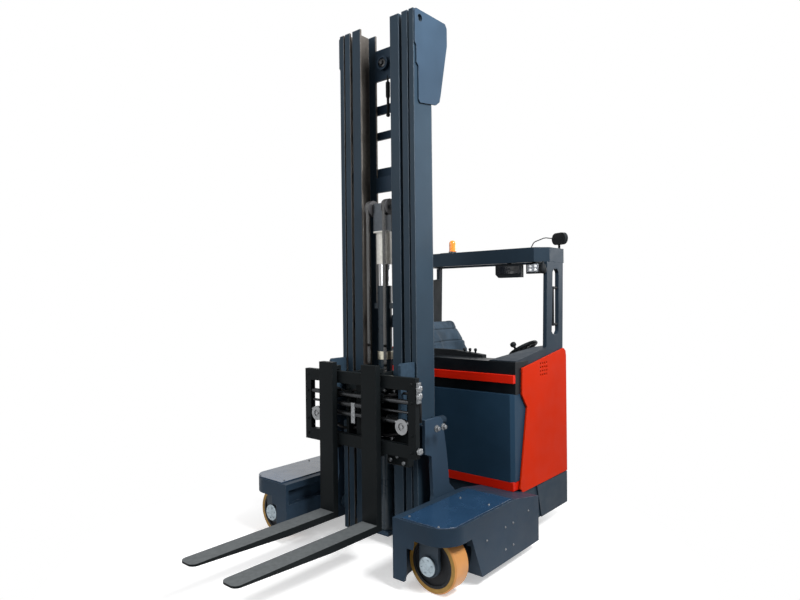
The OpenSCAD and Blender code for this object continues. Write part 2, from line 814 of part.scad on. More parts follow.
module free_barrel() {
  place() color("#27323e") difference() {
    union() {
      translate([0, free_y, 90 + seat_gap]) cylinder(r = free_d / 2, h = 1710);
      translate([0, free_y, 1284]) cylinder(r = free_d / 2 + 4, h = 57);
      span([-chain_x - 16, free_y - 10, 1640], [chain_x + 16, free_y + 36, 1680]);
    }
    translate([0, free_y, 140]) cylinder(r = 36 + pin_gap, h = 1800);
  }
}

module free_rod() {
  place() color("#d5d8da") {
    translate([0, free_y, 700]) cylinder(r = 36, h = 1260);
    translate([0, free_y, 1950]) cylinder(r = 55, h = 230);
    span([-48, sheave_y - 20, 2170], [48, free_y + 40, sheave_z + 30]);
    bar_x(-chain_x - 26, chain_x + 26, 14, sheave_y, sheave_z);
  }
}

module free_sheaves() {
  place() color("#9aa0a6") both() difference() {
    bar_x(chain_x - 20, chain_x + 20, sheave_r, sheave_y, sheave_z);
    bar_x(chain_x - 21, chain_x + 21, 14 + pin_gap, sheave_y, sheave_z);
    difference() {
      bar_x(chain_x - 14, chain_x + 14, sheave_r + 1, sheave_y, sheave_z);
      bar_x(chain_x - 15, chain_x + 15, sheave_r - 10, sheave_y, sheave_z);
    }
  }
}

module lift_chains() {
  lead = sheave_y - wrap_r;
  tail = sheave_y + wrap_r;
  place() color("#5a5f64") both() {
    span([chain_x - 11, lead - 8, carriage_top - 30 + seat_gap], [chain_x + 11, lead, sheave_z + 1]);
    span([chain_x - 11, tail, 1680 + seat_gap], [chain_x + 11, tail + 8, sheave_z + 1]);
    intersection() {
      difference() {
        bar_x(chain_x - 11, chain_x + 11, wrap_r + 8, sheave_y, sheave_z);
        bar_x(chain_x - 12, chain_x + 12, wrap_r, sheave_y, sheave_z);
      }
      span([0, 0, sheave_z], [2 * chain_x, 2 * sheave_y, sheave_z + 2 * sheave_r]);
    }
  }
}

module carriage_frame() {
  rear = frame_y + frame_t;
  place() color("#16181a") {
    for (z = [carriage_bottom, carriage_top - 80])
      span([-carriage_half, frame_y, z], [carriage_half, rear, z + 80]);
    both() span([carriage_half - end_w, frame_y, carriage_bottom + 80 + seat_gap],
      [carriage_half, rear, carriage_top - 80 - seat_gap]);
  }
}

module carriage_shafts() {
  reach_in = carriage_half - end_w - seat_gap;
  mid_z = (shaft_zs[0] + shaft_zs[1]) / 2;
  place() color("#c8ccd0") {
    for (z = shaft_zs) bar_x(-reach_in, reach_in, shaft_r, shaft_y, z);
    bar_x(-reach_in, reach_in, 9, shaft_y, mid_z);
    bar_x(-150, 190, 18, shaft_y, mid_z);
    both() difference() {
      bar_y(frame_y, shaft_y, disc_r, disc_x, disc_z);
      bar_y(frame_y - 1, frame_y + 6, disc_r - 26, disc_x, disc_z);
    }
    both() bar_y(frame_y + 1, shaft_y, 12, disc_x, disc_z);
  }
}

module carriage_plates() {
  front = frame_y + frame_t + seat_gap;
  back = rail_mid + 52;
  notch = [shaft_zs[1] - lug_half - run_gap, shaft_zs[1] + lug_half + run_gap];
  hook_z = carriage_top - hook_drop - run_gap;
  wing_front = hook_y + run_gap;
  wing_low = carriage_bottom + 120;
  place() color("#202326") {
    both() side_plate(plate_x, plate_x + plate_t, [[front, carriage_bottom + 10], [front, notch[0]],
      [front + 20, notch[0]], [front + 20, notch[1]], [front, notch[1]], [front, hook_z],
      [hook_y + run_gap, hook_z], [hook_y + run_gap, carriage_top - 10], [300, carriage_top],
      [back, carriage_top - 20], [back, carriage_bottom + 20], [300, carriage_bottom]]);
    both() for (z = [carriage_bottom + 80, carriage_top - 80])
      bar_x(plate_x + plate_t - 1, inner_half - rail_t - run_gap - 2, 20, rail_mid, z);
    span([-plate_x - 1, 200, carriage_top - 60], [plate_x + 1, 272, carriage_top - 30]);
    both() {
      side_plate(wing_x, wing_x + plate_t, [[wing_front, wing_low], [wing_front, wing_top - 12],
        [wing_front + 12, wing_top], [wing_rear, wing_top], [wing_rear, wing_low]]);
      for (z = [wing_low + 40, carriage_top - 60])
        span([plate_x + plate_t + seat_gap, 200, z], [wing_x - seat_gap, wing_rear - 4, z + 30]);
    }
  }
}

module carriage_rollers() {
  roll_r = (inner_rear - mast_front) / 2 - 15 - guide_gap;
  place() color("#8a9096") both() for (z = [carriage_bottom + 80, carriage_top - 80]) difference() {
    bar_x(inner_half - inner_flange + 2, inner_half - rail_t - run_gap, roll_r, rail_mid, z);
    bar_x(inner_half - inner_flange, inner_half, 20 + pin_gap, rail_mid, z);
  }
}

module fork(x) {
  heel = fork_z - fork_t;
  translate([x - fork_w / 2, 0, 0]) {
    span([0, shank_y, heel], [fork_w, shank_y + fork_t, hook_top]);
    span([hook_in, shank_y, carriage_top + run_gap], [fork_w - hook_in, hook_y, hook_top - hook_step]);
    span([hook_in, hook_y - hook_t, carriage_top - hook_drop],
      [fork_w - hook_in, hook_y, carriage_top + run_gap + 1]);
    span([hook_in, shank_y, carriage_bottom - run_gap - 28],
      [fork_w - hook_in, hook_y, carriage_bottom - run_gap]);
    difference() {
      span([20, shank_y + fork_t - 1, shaft_zs[1] - lug_half],
        [fork_w - 20, shaft_y + lug_half, shaft_zs[1] + lug_half]);
      bar_x(0, fork_w, shaft_r + pin_gap, shaft_y, shaft_zs[1]);
    }
  }
  translate([x, 0, 0]) difference() {
    translate([0, tip_y, heel]) linear_extrude(fork_t) {
      translate([-fork_w / 2, 60]) square([fork_w, shank_y - tip_y - 59]);
      translate([-fork_w / 2 + 40, 0]) square([fork_w - 80, 61]);
      for (s = [-1, 1]) translate([s * (fork_w / 2 - 40), 40]) circle(r = 40);
      translate([-fork_w / 2, 40]) square([fork_w, 21]);
    }
    side_plate(-fork_w, fork_w, [[tip_y - 1, heel - 1], [tip_y - 1, fork_z - 12], [tip_y + 700, heel - 1]]);
  }
}

module fork_right() {
  place() color("#1b1c1e") fork(fork_right_x);
}

module fork_left() {
  place() color("#1b1c1e") fork(fork_left_x);
}

module steering_wheel() {
  slope = atan2(dash_hi[1] - dash_lo[1], dash_hi[0] - dash_lo[0]);
  place() color("#101112") translate([dash_lo[0] + wheel_up, wheel_back, dash_lo[1] + wheel_up * tan(slope)])
    rotate([0, -slope, 0]) {
      translate([0, 0, 60]) rotate_extrude() translate([hand_wheel_d / 2 - 13, 0]) circle(r = 13);
      translate([0, 0, seat_gap]) cylinder(r = 34, h = 70);
      for (a = [0, 120, 240]) rotate([0, 0, a]) translate([20, -9, 53]) cube([hand_wheel_d / 2 - 26, 18, 12]);
    }
}

chassis_base();
leg_right();
leg_left();
leg_covers();
body_panels();
battery();
front_rails();
deck_hood();
dash();
seat_base();
seat_cushion();
seat_back();
armrest();
guard_posts();
guard_roof();
beacon();
work_light();
monitor();
mirror_node();  // mirror
grab_handles();
cab_walls();
reach_barrels();
drive_unit();
drive_tyre();
drive_hub();
knuckle_right();
knuckle_left();
load_tyre_right();
load_tyre_left();
load_hub_right();
load_hub_left();
reach_frame();
reach_rollers();
reach_rods();
outer_rails();
outer_bars();
mast_guards();
raise_barrels();
tilt_barrels();
middle_rails();
middle_bars();
raise_rods();
inner_rails();
inner_bars();
free_barrel();
free_rod();
free_sheaves();
carriage_frame();
carriage_plates();
carriage_shafts();
carriage_rollers();
lift_chains();
fork_right();
fork_left();
steering_wheel();
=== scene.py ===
import math

import bpy
from mathutils import Matrix, Vector


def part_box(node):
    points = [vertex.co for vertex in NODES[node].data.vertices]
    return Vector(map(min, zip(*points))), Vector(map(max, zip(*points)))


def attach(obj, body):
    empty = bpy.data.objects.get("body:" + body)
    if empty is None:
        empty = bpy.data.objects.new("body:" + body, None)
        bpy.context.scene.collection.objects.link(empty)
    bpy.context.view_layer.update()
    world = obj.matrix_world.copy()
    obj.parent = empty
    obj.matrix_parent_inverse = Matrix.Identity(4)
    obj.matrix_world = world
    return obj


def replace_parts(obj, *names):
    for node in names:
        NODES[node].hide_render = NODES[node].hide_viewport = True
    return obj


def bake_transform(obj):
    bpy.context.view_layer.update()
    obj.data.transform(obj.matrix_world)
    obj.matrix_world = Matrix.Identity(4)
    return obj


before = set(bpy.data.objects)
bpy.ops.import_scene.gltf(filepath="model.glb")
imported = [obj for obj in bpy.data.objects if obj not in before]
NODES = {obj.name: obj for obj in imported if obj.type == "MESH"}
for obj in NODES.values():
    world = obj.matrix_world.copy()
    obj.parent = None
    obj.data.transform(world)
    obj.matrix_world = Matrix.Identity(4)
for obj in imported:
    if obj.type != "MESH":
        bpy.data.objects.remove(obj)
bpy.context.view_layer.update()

# Where the load wheels' axle lies in the frame, and the camera of the photograph relative to it.
AXLE_Y = sum(v.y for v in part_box("load_hub_right")) / 2
CAMERA_AT = Vector((2.840, AXLE_Y - 2.845, 1.705))
CAMERA_AZIMUTH = math.radians(40.20)
CAMERA_PITCH = math.radians(-0.08)
CAMERA_ROLL = math.radians(-0.61)
CAMERA_LENS_MM = 27.25
CAMERA_SENSOR_MM = 36.0


# Materials

# Cosines between which a face starts and fully counts as facing one way, and a bevel as an edge.
FACING = (0.90, 0.97)
EDGE_TURN = (0.80, 0.985)
BEVEL_SAMPLES = 4
# The strip at the middle plane, and the soft border of a region.
MIDDLE = (-0.01, 0.01)
BLUR = 0.002
# Grain of the second finishes and of the painted shade laid over, worn patches on edges (on the rails also a
# painted highlight), spread of the gloss and depth of the fine bump.
GRAIN_SCALE, GRAIN_DARK, GRAIN_LIGHT = 40.0, 0.86, 1.12
WEAR_AND_HIGHLIGHT_SCALE, WEAR_AND_HIGHLIGHT_MOST = 30.0, 0.8
ROUGH_LESS, ROUGH_MORE = 0.06, 0.08
COAT_ROUGH = 0.08
BUMP_DEEP = 0.002


def shader(name):
    """A new node material, its tree and its principled shader."""
    material = bpy.data.materials.new(name)
    material.use_nodes = True
    tree = material.node_tree
    return material, tree, tree.nodes["Principled BSDF"]


def link(tree, a, b):
    tree.links.new(a, b)


def object_coordinates(tree):
    return tree.nodes.new("ShaderNodeTexCoord").outputs["Object"]


def noise(tree, scale, detail=3.0, stretch=(1, 1, 1)):
    mapping = tree.nodes.new("ShaderNodeMapping")
    mapping.inputs["Scale"].default_value = stretch
    link(tree, object_coordinates(tree), mapping.inputs["Vector"])
    texture = tree.nodes.new("ShaderNodeTexNoise")
    texture.inputs["Scale"].default_value = scale
    texture.inputs["Detail"].default_value = detail
    link(tree, mapping.outputs["Vector"], texture.inputs["Vector"])
    return texture.outputs["Fac"]


def ranged(tree, value, low, high, from_low=0.3, from_high=0.7):
    node = tree.nodes.new("ShaderNodeMapRange")
    node.inputs["From Min"].default_value = from_low
    node.inputs["From Max"].default_value = from_high
    node.inputs["To Min"].default_value = low
    node.inputs["To Max"].default_value = high
    link(tree, value, node.inputs["Value"])
    return node.outputs["Result"]


def mixed(tree, factor, a, b):
    node = tree.nodes.new("ShaderNodeMix")
    node.data_type = "RGBA"
    colours = [s for s in node.inputs if s.type == "RGBA"]
    for socket, value in zip(colours, (a, b)):
        if isinstance(value, bpy.types.NodeSocket):
            link(tree, value, socket)
        else:
            socket.default_value = (*value, 1)
    link(tree, factor, [s for s in node.inputs if s.type == "VALUE"][0])
    return [s for s in node.outputs if s.type == "RGBA"][0]


def edge_mask(tree, radius):
    """1 along sharp edges, 0 on flat faces."""
    bevel = tree.nodes.new("ShaderNodeBevel")
    bevel.samples = BEVEL_SAMPLES
    bevel.inputs["Radius"].default_value = radius
    geometry = tree.nodes.new("ShaderNodeNewGeometry")
    dot = tree.nodes.new("ShaderNodeVectorMath")
    dot.operation = "DOT_PRODUCT"
    link(tree, bevel.outputs["Normal"], dot.inputs[0])
    link(tree, geometry.outputs["True Normal"], dot.inputs[1])
    return ranged(tree, dot.outputs["Value"], 1.0, 0.0, *EDGE_TURN)


def times(tree, a, b):
    node = tree.nodes.new("ShaderNodeMath")
    node.operation = "MULTIPLY"
    link(tree, a, node.inputs[0])
    link(tree, b, node.inputs[1])
    return node.outputs["Value"]


def height_band(tree, low, high, blur=0.001):
    """1 between two heights of the parked object, 0 outside."""
    split = tree.nodes.new("ShaderNodeSeparateXYZ")
    link(tree, object_coordinates(tree), split.inputs["Vector"])
    rising = ranged(tree, split.outputs["Z"], 0.0, 1.0, low - blur, low + blur)
    falling = ranged(tree, split.outputs["Z"], 1.0, 0.0, high - blur, high + blur)
    return times(tree, rising, falling)


def facing_up(tree):
    """1 on level faces that look up."""
    geometry = tree.nodes.new("ShaderNodeNewGeometry")
    split = tree.nodes.new("ShaderNodeSeparateXYZ")
    link(tree, geometry.outputs["Normal"], split.inputs["Vector"])
    return ranged(tree, split.outputs["Z"], 0.0, 1.0, *FACING)


def facing(tree, axis, sign):
    """1 on faces whose normal points along one axis, by the sign given, or both ways for 0."""
    coordinates = tree.nodes.new("ShaderNodeTexCoord")
    split = tree.nodes.new("ShaderNodeSeparateXYZ")
    link(tree, coordinates.outputs["Normal"], split.inputs["Vector"])
    value = split.outputs[axis]
    if sign == 0:
        size = tree.nodes.new("ShaderNodeMath")
        size.operation = "ABSOLUTE"
        link(tree, value, size.inputs[0])
        value, sign = size.outputs["Value"], 1
    return ranged(tree, value, 0.0, 1.0, FACING[0] * sign, FACING[1] * sign)


def facing_front(tree):
    return facing(tree, "Y", -1)


def facing_side(tree):
    return facing(tree, "Y", 0)


def across(tree):
    """The sideways place on the parked object."""
    split = tree.nodes.new("ShaderNodeSeparateXYZ")
    link(tree, object_coordinates(tree), split.inputs["Vector"])
    return split.outputs["X"]


def facing_in(tree):
    """1 on faces that look across at the middle of the mast."""
    left = times(tree, facing(tree, "X", 1), ranged(tree, across(tree), 1.0, 0.0, *MIDDLE))
    right = times(tree, facing(tree, "X", -1), ranged(tree, across(tree), 0.0, 1.0, *MIDDLE))
    both = tree.nodes.new("ShaderNodeMath")
    both.operation = "MAXIMUM"
    link(tree, left, both.inputs[0])
    link(tree, right, both.inputs[1])
    return both.outputs["Value"]


def outside(tree, limit):
    """1 where the distance from the middle plane is over a limit."""
    size = tree.nodes.new("ShaderNodeMath")
    size.operation = "ABSOLUTE"
    link(tree, across(tree), size.inputs[0])
    return ranged(tree, size.outputs["Value"], 0.0, 1.0, limit - BLUR, limit + BLUR)


def disc_faces(tree):
    """1 on the front faces of the two discs near the ends of the fork carriage."""
    spot = times(tree, outside(tree, DISC_IN), height_band(tree, *DISC))
    return times(tree, facing_front(tree), spot)


def overlay(material, mask, colour, rough, metallic=None):
    """Lay a second finish over a surface where mask(tree) is 1; on the tyres' sides and in the seat's seams
    it is painted shade.
    """
    tree = material.node_tree
    bsdf = tree.nodes["Principled BSDF"]
    share = mask(tree)
    for socket, value in ((bsdf.inputs["Base Color"], colour), (bsdf.inputs["Roughness"], rough)):
        old = socket.links[0].from_socket
        if socket.type == "RGBA":
            grain = ranged(tree, noise(tree, GRAIN_SCALE, 4.0), 0.0, 1.0)
            dark = tuple(c * GRAIN_DARK for c in value)
            light = tuple(min(1, c * GRAIN_LIGHT) for c in value)
            patchy = mixed(tree, grain, dark, light)
            link(tree, mixed(tree, share, old, patchy), socket)
        else:
            blend = tree.nodes.new("ShaderNodeMix")
            numbers = [i for i in blend.inputs if i.type == "VALUE"]
            link(tree, share, numbers[0])
            link(tree, old, numbers[1])
            numbers[2].default_value = value
            link(tree, [o for o in blend.outputs if o.type == "VALUE"][0], socket)
    if metallic is not None:
        level = ranged(tree, share, bsdf.inputs["Metallic"].default_value, metallic, 0.0, 1.0)
        link(tree, level, bsdf.inputs["Metallic"])
    return material


def surface(name, colour, rough, metallic=0.0, vary=0.12, vary_scale=3.0, bump=0.02, bump_scale=240.0,
            coat=0.0, edge=None, edge_radius=0.004, wear_and_highlight=(0.45, 0.65), stretch=(1, 1, 1), shine=0.5):
    """Paint, plastic or metal: colour and gloss vary a little, with fine bump and worn edges; on the rails
    the lighter edges are partly a painted highlight.
    """
    material, tree, bsdf = shader(name)
    blotch = noise(tree, vary_scale, 4.0, stretch)
    dark = tuple(c * (1 - vary) for c in colour)
    light = tuple(min(1.0, c * (1 + vary)) for c in colour)
    shade = mixed(tree, ranged(tree, blotch, 0.0, 1.0), dark, light)
    if edge:
        patches = ranged(tree, noise(tree, WEAR_AND_HIGHLIGHT_SCALE), 0.0, WEAR_AND_HIGHLIGHT_MOST, *wear_and_highlight)
        shade = mixed(tree, times(tree, edge_mask(tree, edge_radius), patches), shade, edge)
    link(tree, shade, bsdf.inputs["Base Color"])
    gloss = noise(tree, vary_scale * 4, 5.0, stretch)
    smoothest, roughest = max(0.02, rough - ROUGH_LESS), rough + ROUGH_MORE
    link(tree, ranged(tree, gloss, smoothest, roughest), bsdf.inputs["Roughness"])
    bsdf.inputs["Metallic"].default_value = metallic
    bsdf.inputs["Specular IOR Level"].default_value = shine
    bsdf.inputs["Coat Weight"].default_value = coat
    bsdf.inputs["Coat Roughness"].default_value = COAT_ROUGH
    relief = tree.nodes.new("ShaderNodeBump")
    relief.inputs["Strength"].default_value = bump
    relief.inputs["Distance"].default_value = BUMP_DEEP
    link(tree, noise(tree, bump_scale, 2.0, stretch), relief.inputs["Height"])
    rounded = tree.nodes.new("ShaderNodeBevel")
    rounded.samples = BEVEL_SAMPLES
    rounded.inputs["Radius"].default_value = edge_radius
    link(tree, rounded.outputs["Normal"], relief.inputs["Normal"])
    link(tree, relief.outputs["Normal"], bsdf.inputs["Normal"])
    return material


# Heights of the guard and the seat, and of the seams in the seat back below its top.
GUARD_TOP = max(v.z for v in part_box("guard_roof"))
SEAT_TOP = max(v.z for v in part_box("seat_back"))
SEAT_SEAMS = (0.082, 0.180)
SEAM_WIDE = 0.007
# The worn top of the fork blades, and the black foot of the beacon.
BLADE_TOP = (0.240, 0.280)
BEACON_FOOT = (GUARD_TOP - 0.01, GUARD_TOP + 0.024)
# The pale block at the head of the free lift rod, the crosshead above it and the ring of its barrel.
HEAD = (1.952, 2.182)
CROSSHEAD = (HEAD[1], HEAD[1] + 0.6)
RING = (1.284, 1.341)
# Where the slate wings of the fork carriage start, and the heights and inner edge of its end discs.
WING_IN = 0.300
DISC = (0.850, 0.956)
DISC_IN = 0.338

SLATE = surface("slate_paint", (0.026, 0.047, 0.075), 0.42, edge=(0.15, 0.18, 0.22), shine=0.08)
LEG = surface("leg_paint", (0.018, 0.033, 0.053), 0.42, edge=(0.12, 0.15, 0.18), shine=0.08)
# The rails' edges are lightened almost all along: partly worn steel, partly a painted highlight along the
# flange edges.
RAIL = overlay(surface("rail_paint", (0.021, 0.038, 0.057), 0.40, edge=(0.20, 0.24, 0.28),
                       edge_radius=0.005, wear_and_highlight=(0.10, 0.45), shine=0.10),
               facing_in, (0.11, 0.10, 0.09), 0.38, 0.5)
SLATE_DARK = surface("dark_slate_paint", (0.016, 0.028, 0.042), 0.42, edge=(0.07, 0.08, 0.10), shine=0.08)
DECK = surface("deck_black", (0.004, 0.006, 0.008), 0.36, coat=0.03, edge=(0.05, 0.05, 0.055), shine=0.10)
# The leg covers' blue is partly their paint, partly a painted reflection of blue sky on the leg tops.
COVER = surface("leg_cover_paint_and_sky_reflection", (0.016, 0.045, 0.094), 0.22, coat=0.3, edge=(0.14, 0.17, 0.21), shine=0.4)
RED = surface("orange_red_paint", (0.50, 0.020, 0.002), 0.45, vary=0.05, edge=(0.64, 0.08, 0.03), shine=0.04)
RAIL_RED = surface("rail_red_paint", (0.60, 0.012, 0.002), 0.38, vary=0.06, edge=(0.75, 0.10, 0.05),
                   shine=0.10)
BATTERY = surface("battery_paint", (0.015, 0.040, 0.072), 0.40, edge=(0.06, 0.08, 0.10), shine=0.10)
BLACK = surface("black_paint", (0.007, 0.009, 0.010), 0.45, edge=(0.04, 0.04, 0.04), shine=0.06)
CARRIER = overlay(surface("carrier_paint", (0.007, 0.009, 0.010), 0.45, edge=(0.04, 0.04, 0.04),
                          shine=0.06),
                  lambda tree: outside(tree, WING_IN), (0.030, 0.053, 0.080), 0.42)
FORK = overlay(surface("fork_paint", (0.007, 0.009, 0.010), 0.45, edge=(0.06, 0.06, 0.06), shine=0.06),
               lambda tree: times(tree, facing_up(tree), height_band(tree, *BLADE_TOP)),
               (0.098, 0.107, 0.111), 0.50)
PLASTIC = surface("moulded_plastic", (0.010, 0.012, 0.014), 0.55, bump=0.12, bump_scale=700.0, shine=0.12)
DASH = surface("dash_moulding", (0.014, 0.021, 0.030), 0.48, bump=0.12, bump_scale=700.0, shine=0.12)
STEEL = surface("bare_steel", (0.42, 0.44, 0.46), 0.36, metallic=1.0, stretch=(1, 1, 12))
SCREW = surface("zinc_screw", (0.16, 0.17, 0.18), 0.48, metallic=0.6, vary=0.25, vary_scale=60.0)
CAST = surface("cast_iron", (0.012, 0.013, 0.015), 0.60, bump=0.20, bump_scale=320.0,
               edge=(0.06, 0.06, 0.06), shine=0.15)
KNUCKLE = surface("wheel_fork_paint", (0.030, 0.044, 0.060), 0.46, bump=0.10, edge=(0.13, 0.15, 0.17),
                  shine=0.15)
CAP = surface("zinc_cap", (0.30, 0.36, 0.40), 0.42, metallic=0.6, vary=0.2, vary_scale=30.0)
NUT = surface("nut_steel", (0.24, 0.25, 0.26), 0.32, metallic=0.8, vary=0.5, vary_scale=120.0)
CHROME = surface("chrome_rod", (0.72, 0.73, 0.75), 0.08, metallic=1.0, vary=0.03)
SHAFT = overlay(surface("shaft_steel", (0.036, 0.038, 0.041), 0.30, metallic=0.85, vary=0.2,
                        vary_scale=20.0),
                disc_faces, (0.30, 0.31, 0.32), 0.45, 0.4)
HEAD_ROD = overlay(surface("lift_head", (0.62, 0.63, 0.65), 0.14, metallic=1.0, vary=0.04),
                   lambda tree: height_band(tree, *HEAD), (0.82, 0.80, 0.74), 0.5, 0.0)
HEAD_ROD = overlay(HEAD_ROD, lambda tree: height_band(tree, *CROSSHEAD), (0.055, 0.062, 0.070), 0.42)
BARREL = overlay(surface("barrel_paint", (0.018, 0.030, 0.042), 0.30, coat=0.2, edge=(0.07, 0.08, 0.10),
                         shine=0.2),
                 lambda tree: height_band(tree, *RING), (0.60, 0.57, 0.46), 0.28, 0.9)
CHAIN = surface("oiled_chain", (0.11, 0.11, 0.11), 0.38, metallic=0.8, bump=0.1, bump_scale=300.0)
SHEAVE = surface("sheave_steel", (0.09, 0.09, 0.095), 0.42, metallic=0.7)
# The tyres' sides, the faces turned along Y, are overlaid darker olive: painted shade on the sidewalls.
TYRE = overlay(surface("amber_tread", (0.50, 0.225, 0.068), 0.42, vary=0.10, vary_scale=9.0, bump=0.05,
                       coat=0.05, shine=0.2),
               facing_side, (0.30, 0.17, 0.035), 0.45)
AMBER = overlay(surface("amber_lens", (0.92, 0.26, 0.015), 0.18, vary=0.04, coat=0.6),
                lambda tree: height_band(tree, *BEACON_FOOT), (0.02, 0.02, 0.02), 0.5)
FABRIC = surface("seat_fabric", (0.028, 0.047, 0.069), 0.80, vary=0.35, vary_scale=9.0, bump=0.5,
                 bump_scale=900.0, shine=0.2)
# Dark bands along the seams of the seat back: painted shade in the sewn channels.
for drop in SEAT_SEAMS:
    seam_shade_band = (SEAT_TOP - drop - SEAM_WIDE / 3, SEAT_TOP - drop + SEAM_WIDE / 3)
    overlay(FABRIC, lambda tree: height_band(tree, *seam_shade_band, BLUR), (0.009, 0.014, 0.020), 0.85)
LENS = surface("lamp_lens", (0.30, 0.32, 0.35), 0.14, vary=0.10, vary_scale=60.0, coat=0.8)
DIODE = surface("lamp_diode", (0.86, 0.88, 0.90), 0.20, vary=0.05, vary_scale=60.0, coat=0.8)
SCREEN = surface("screen_glass", (0.012, 0.014, 0.018), 0.08, vary=0.3, coat=1.0)
HOSE = surface("hose_rubber", (0.012, 0.012, 0.013), 0.50, bump=0.25, bump_scale=500.0, shine=0.2)

DRESS = {
    LEG: ("leg_right", "leg_left"),
    SLATE: ("reach_frame", "outer_bars", "mast_guards", "middle_bars", "inner_bars"),
    RAIL: ("outer_rails", "middle_rails", "inner_rails"),
    DECK: ("deck_hood",),
    SLATE_DARK: ("chassis_base", "guard_posts", "guard_roof", "raise_barrels", "tilt_barrels",
                 "reach_barrels"),
    BARREL: ("free_barrel",),
    COVER: ("leg_covers",),
    RED: ("body_panels",),
    RAIL_RED: ("front_rails",),
    BATTERY: ("battery",),
    BLACK: ("carriage_frame",),
    CARRIER: ("carriage_plates",),
    FORK: ("fork_right", "fork_left"),
    DASH: ("dash",),
    PLASTIC: ("seat_base", "armrest", "work_light", "monitor", "mirror", "grab_handles", "cab_walls",
              "steering_wheel"),
    KNUCKLE: ("knuckle_right", "knuckle_left"),
    STEEL: ("reach_rollers", "carriage_rollers"),
    SHEAVE: ("free_sheaves",),
    CAST: ("drive_unit", "drive_hub", "load_hub_right", "load_hub_left"),
    CHROME: ("reach_rods", "raise_rods"),
    SHAFT: ("carriage_shafts",),
    HEAD_ROD: ("free_rod",),
    CHAIN: ("lift_chains",),
    TYRE: ("drive_tyre", "load_tyre_right", "load_tyre_left"),
    AMBER: ("beacon",),
    FABRIC: ("seat_cushion", "seat_back"),
}
for material, names in DRESS.items():
    for name in names:
        mesh = NODES[name].data
        mesh.materials.clear()
        mesh.materials.append(material)


# Pieces in mesh code

def low(node):
    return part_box(node)[0]


def high(node):
    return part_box(node)[1]


def piece(name, verts, faces, material, body, slot, smooth=False):
    """A mesh object that takes a material and rides on a body, unless that is left open. The slot argument is
    not used.
    """
    mesh = bpy.data.meshes.new(name)
    mesh.from_pydata([tuple(v) for v in verts], [], faces)
    mesh.update()
    for polygon in mesh.polygons:
        polygon.use_smooth = smooth
    obj = bpy.data.objects.new(name, mesh)
    bpy.context.collection.objects.link(obj)
    mesh.materials.append(material)
    if body:
        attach(obj, body)
    return obj


def revolved(profile, at, axis, steps):
    """Vertices and faces of a profile of (radius, height) pairs turned about an axis."""
    axis = Vector(axis).normalized()
    side = axis.orthogonal().normalized()
    other = axis.cross(side)
    verts = []
    for radius, height in profile:
        for i in range(steps):
            angle = 2 * math.pi * i / steps
            out = side * math.cos(angle) + other * math.sin(angle)
            verts.append(Vector(at) + axis * height + out * radius)
    faces = []
    for row in range(len(profile) - 1):
        for i in range(steps):
            j = (i + 1) % steps
            faces.append((row * steps + i, row * steps + j, (row + 1) * steps + j, (row + 1) * steps + i))
    faces.append(tuple(reversed(range(steps))))
    faces.append(tuple(range((len(profile) - 1) * steps, len(profile) * steps)))
    return verts, faces


def joined(parts):
    verts, faces = [], []
    for part_verts, part_faces in parts:
        start = len(verts)
        verts.extend(part_verts)
        faces.extend(tuple(start + i for i in face) for face in part_faces)
    return verts, faces


# Radii and heights of a washer and a bolt head, as shares of the bolt's size. The washer is sunk a little.
BOLT_WASHER = ((0.9, 0.0), (0.9, 0.14), (0.82, 0.20))
BOLT_HEAD = ((0.66, 0.15), (0.66, 0.62), (0.54, 0.74))
SUNK = 0.001
WASHER_SIDES = 18
HEX = 6


def bolt(at, axis, size):
    """A hexagon head with a chamfer on a round washer."""
    washer = [(size * radius, size * height) for radius, height in BOLT_WASHER]
    washer[0] = (washer[0][0], -SUNK)
    head = [(size * radius, size * height) for radius, height in BOLT_HEAD]
    return joined([revolved(washer, at, axis, WASHER_SIDES), revolved(head, at, axis, HEX)])


def bolts(name, places, axis, size, material, body, slot):
    verts, faces = joined([bolt(at, axis, size) for at in places])
    return piece(name, verts, faces, material, body, slot)


BEND_RADII = 4
BEND_STEPS = 5
TUBE_SIDES = 10


def tube(points, radius):
    """A round bar or pipe along a list of points, with rounded bends."""
    curve = [Vector(p) for p in points]
    path = [curve[0]]
    for before, here, after in zip(curve, curve[1:], curve[2:]):
        bend = min(BEND_RADII * radius, (here - before).length / 2, (after - here).length / 2)
        start = here + (before - here).normalized() * bend
        end = here + (after - here).normalized() * bend
        for k in range(BEND_STEPS + 1):
            t = k / BEND_STEPS
            path.append(start * (1 - t) ** 2 + here * 2 * t * (1 - t) + end * t ** 2)
    path.append(curve[-1])
    verts, faces, steps = [], [], TUBE_SIDES
    side = (path[1] - path[0]).orthogonal().normalized()
    for k, point in enumerate(path):
        ahead = (path[min(k + 1, len(path) - 1)] - path[max(k - 1, 0)]).normalized()
        side = (side - ahead * side.dot(ahead)).normalized()
        other = ahead.cross(side)
        for i in range(steps):
            angle = 2 * math.pi * i / steps
            verts.append(point + (side * math.cos(angle) + other * math.sin(angle)) * radius)
    for k in range(len(path) - 1):
        for i in range(steps):
            j = (i + 1) % steps
            faces.append((k * steps + i, k * steps + j, (k + 1) * steps + j, (k + 1) * steps + i))
    faces.append(tuple(reversed(range(steps))))
    faces.append(tuple(range((len(path) - 1) * steps, len(path) * steps)))
    return verts, faces


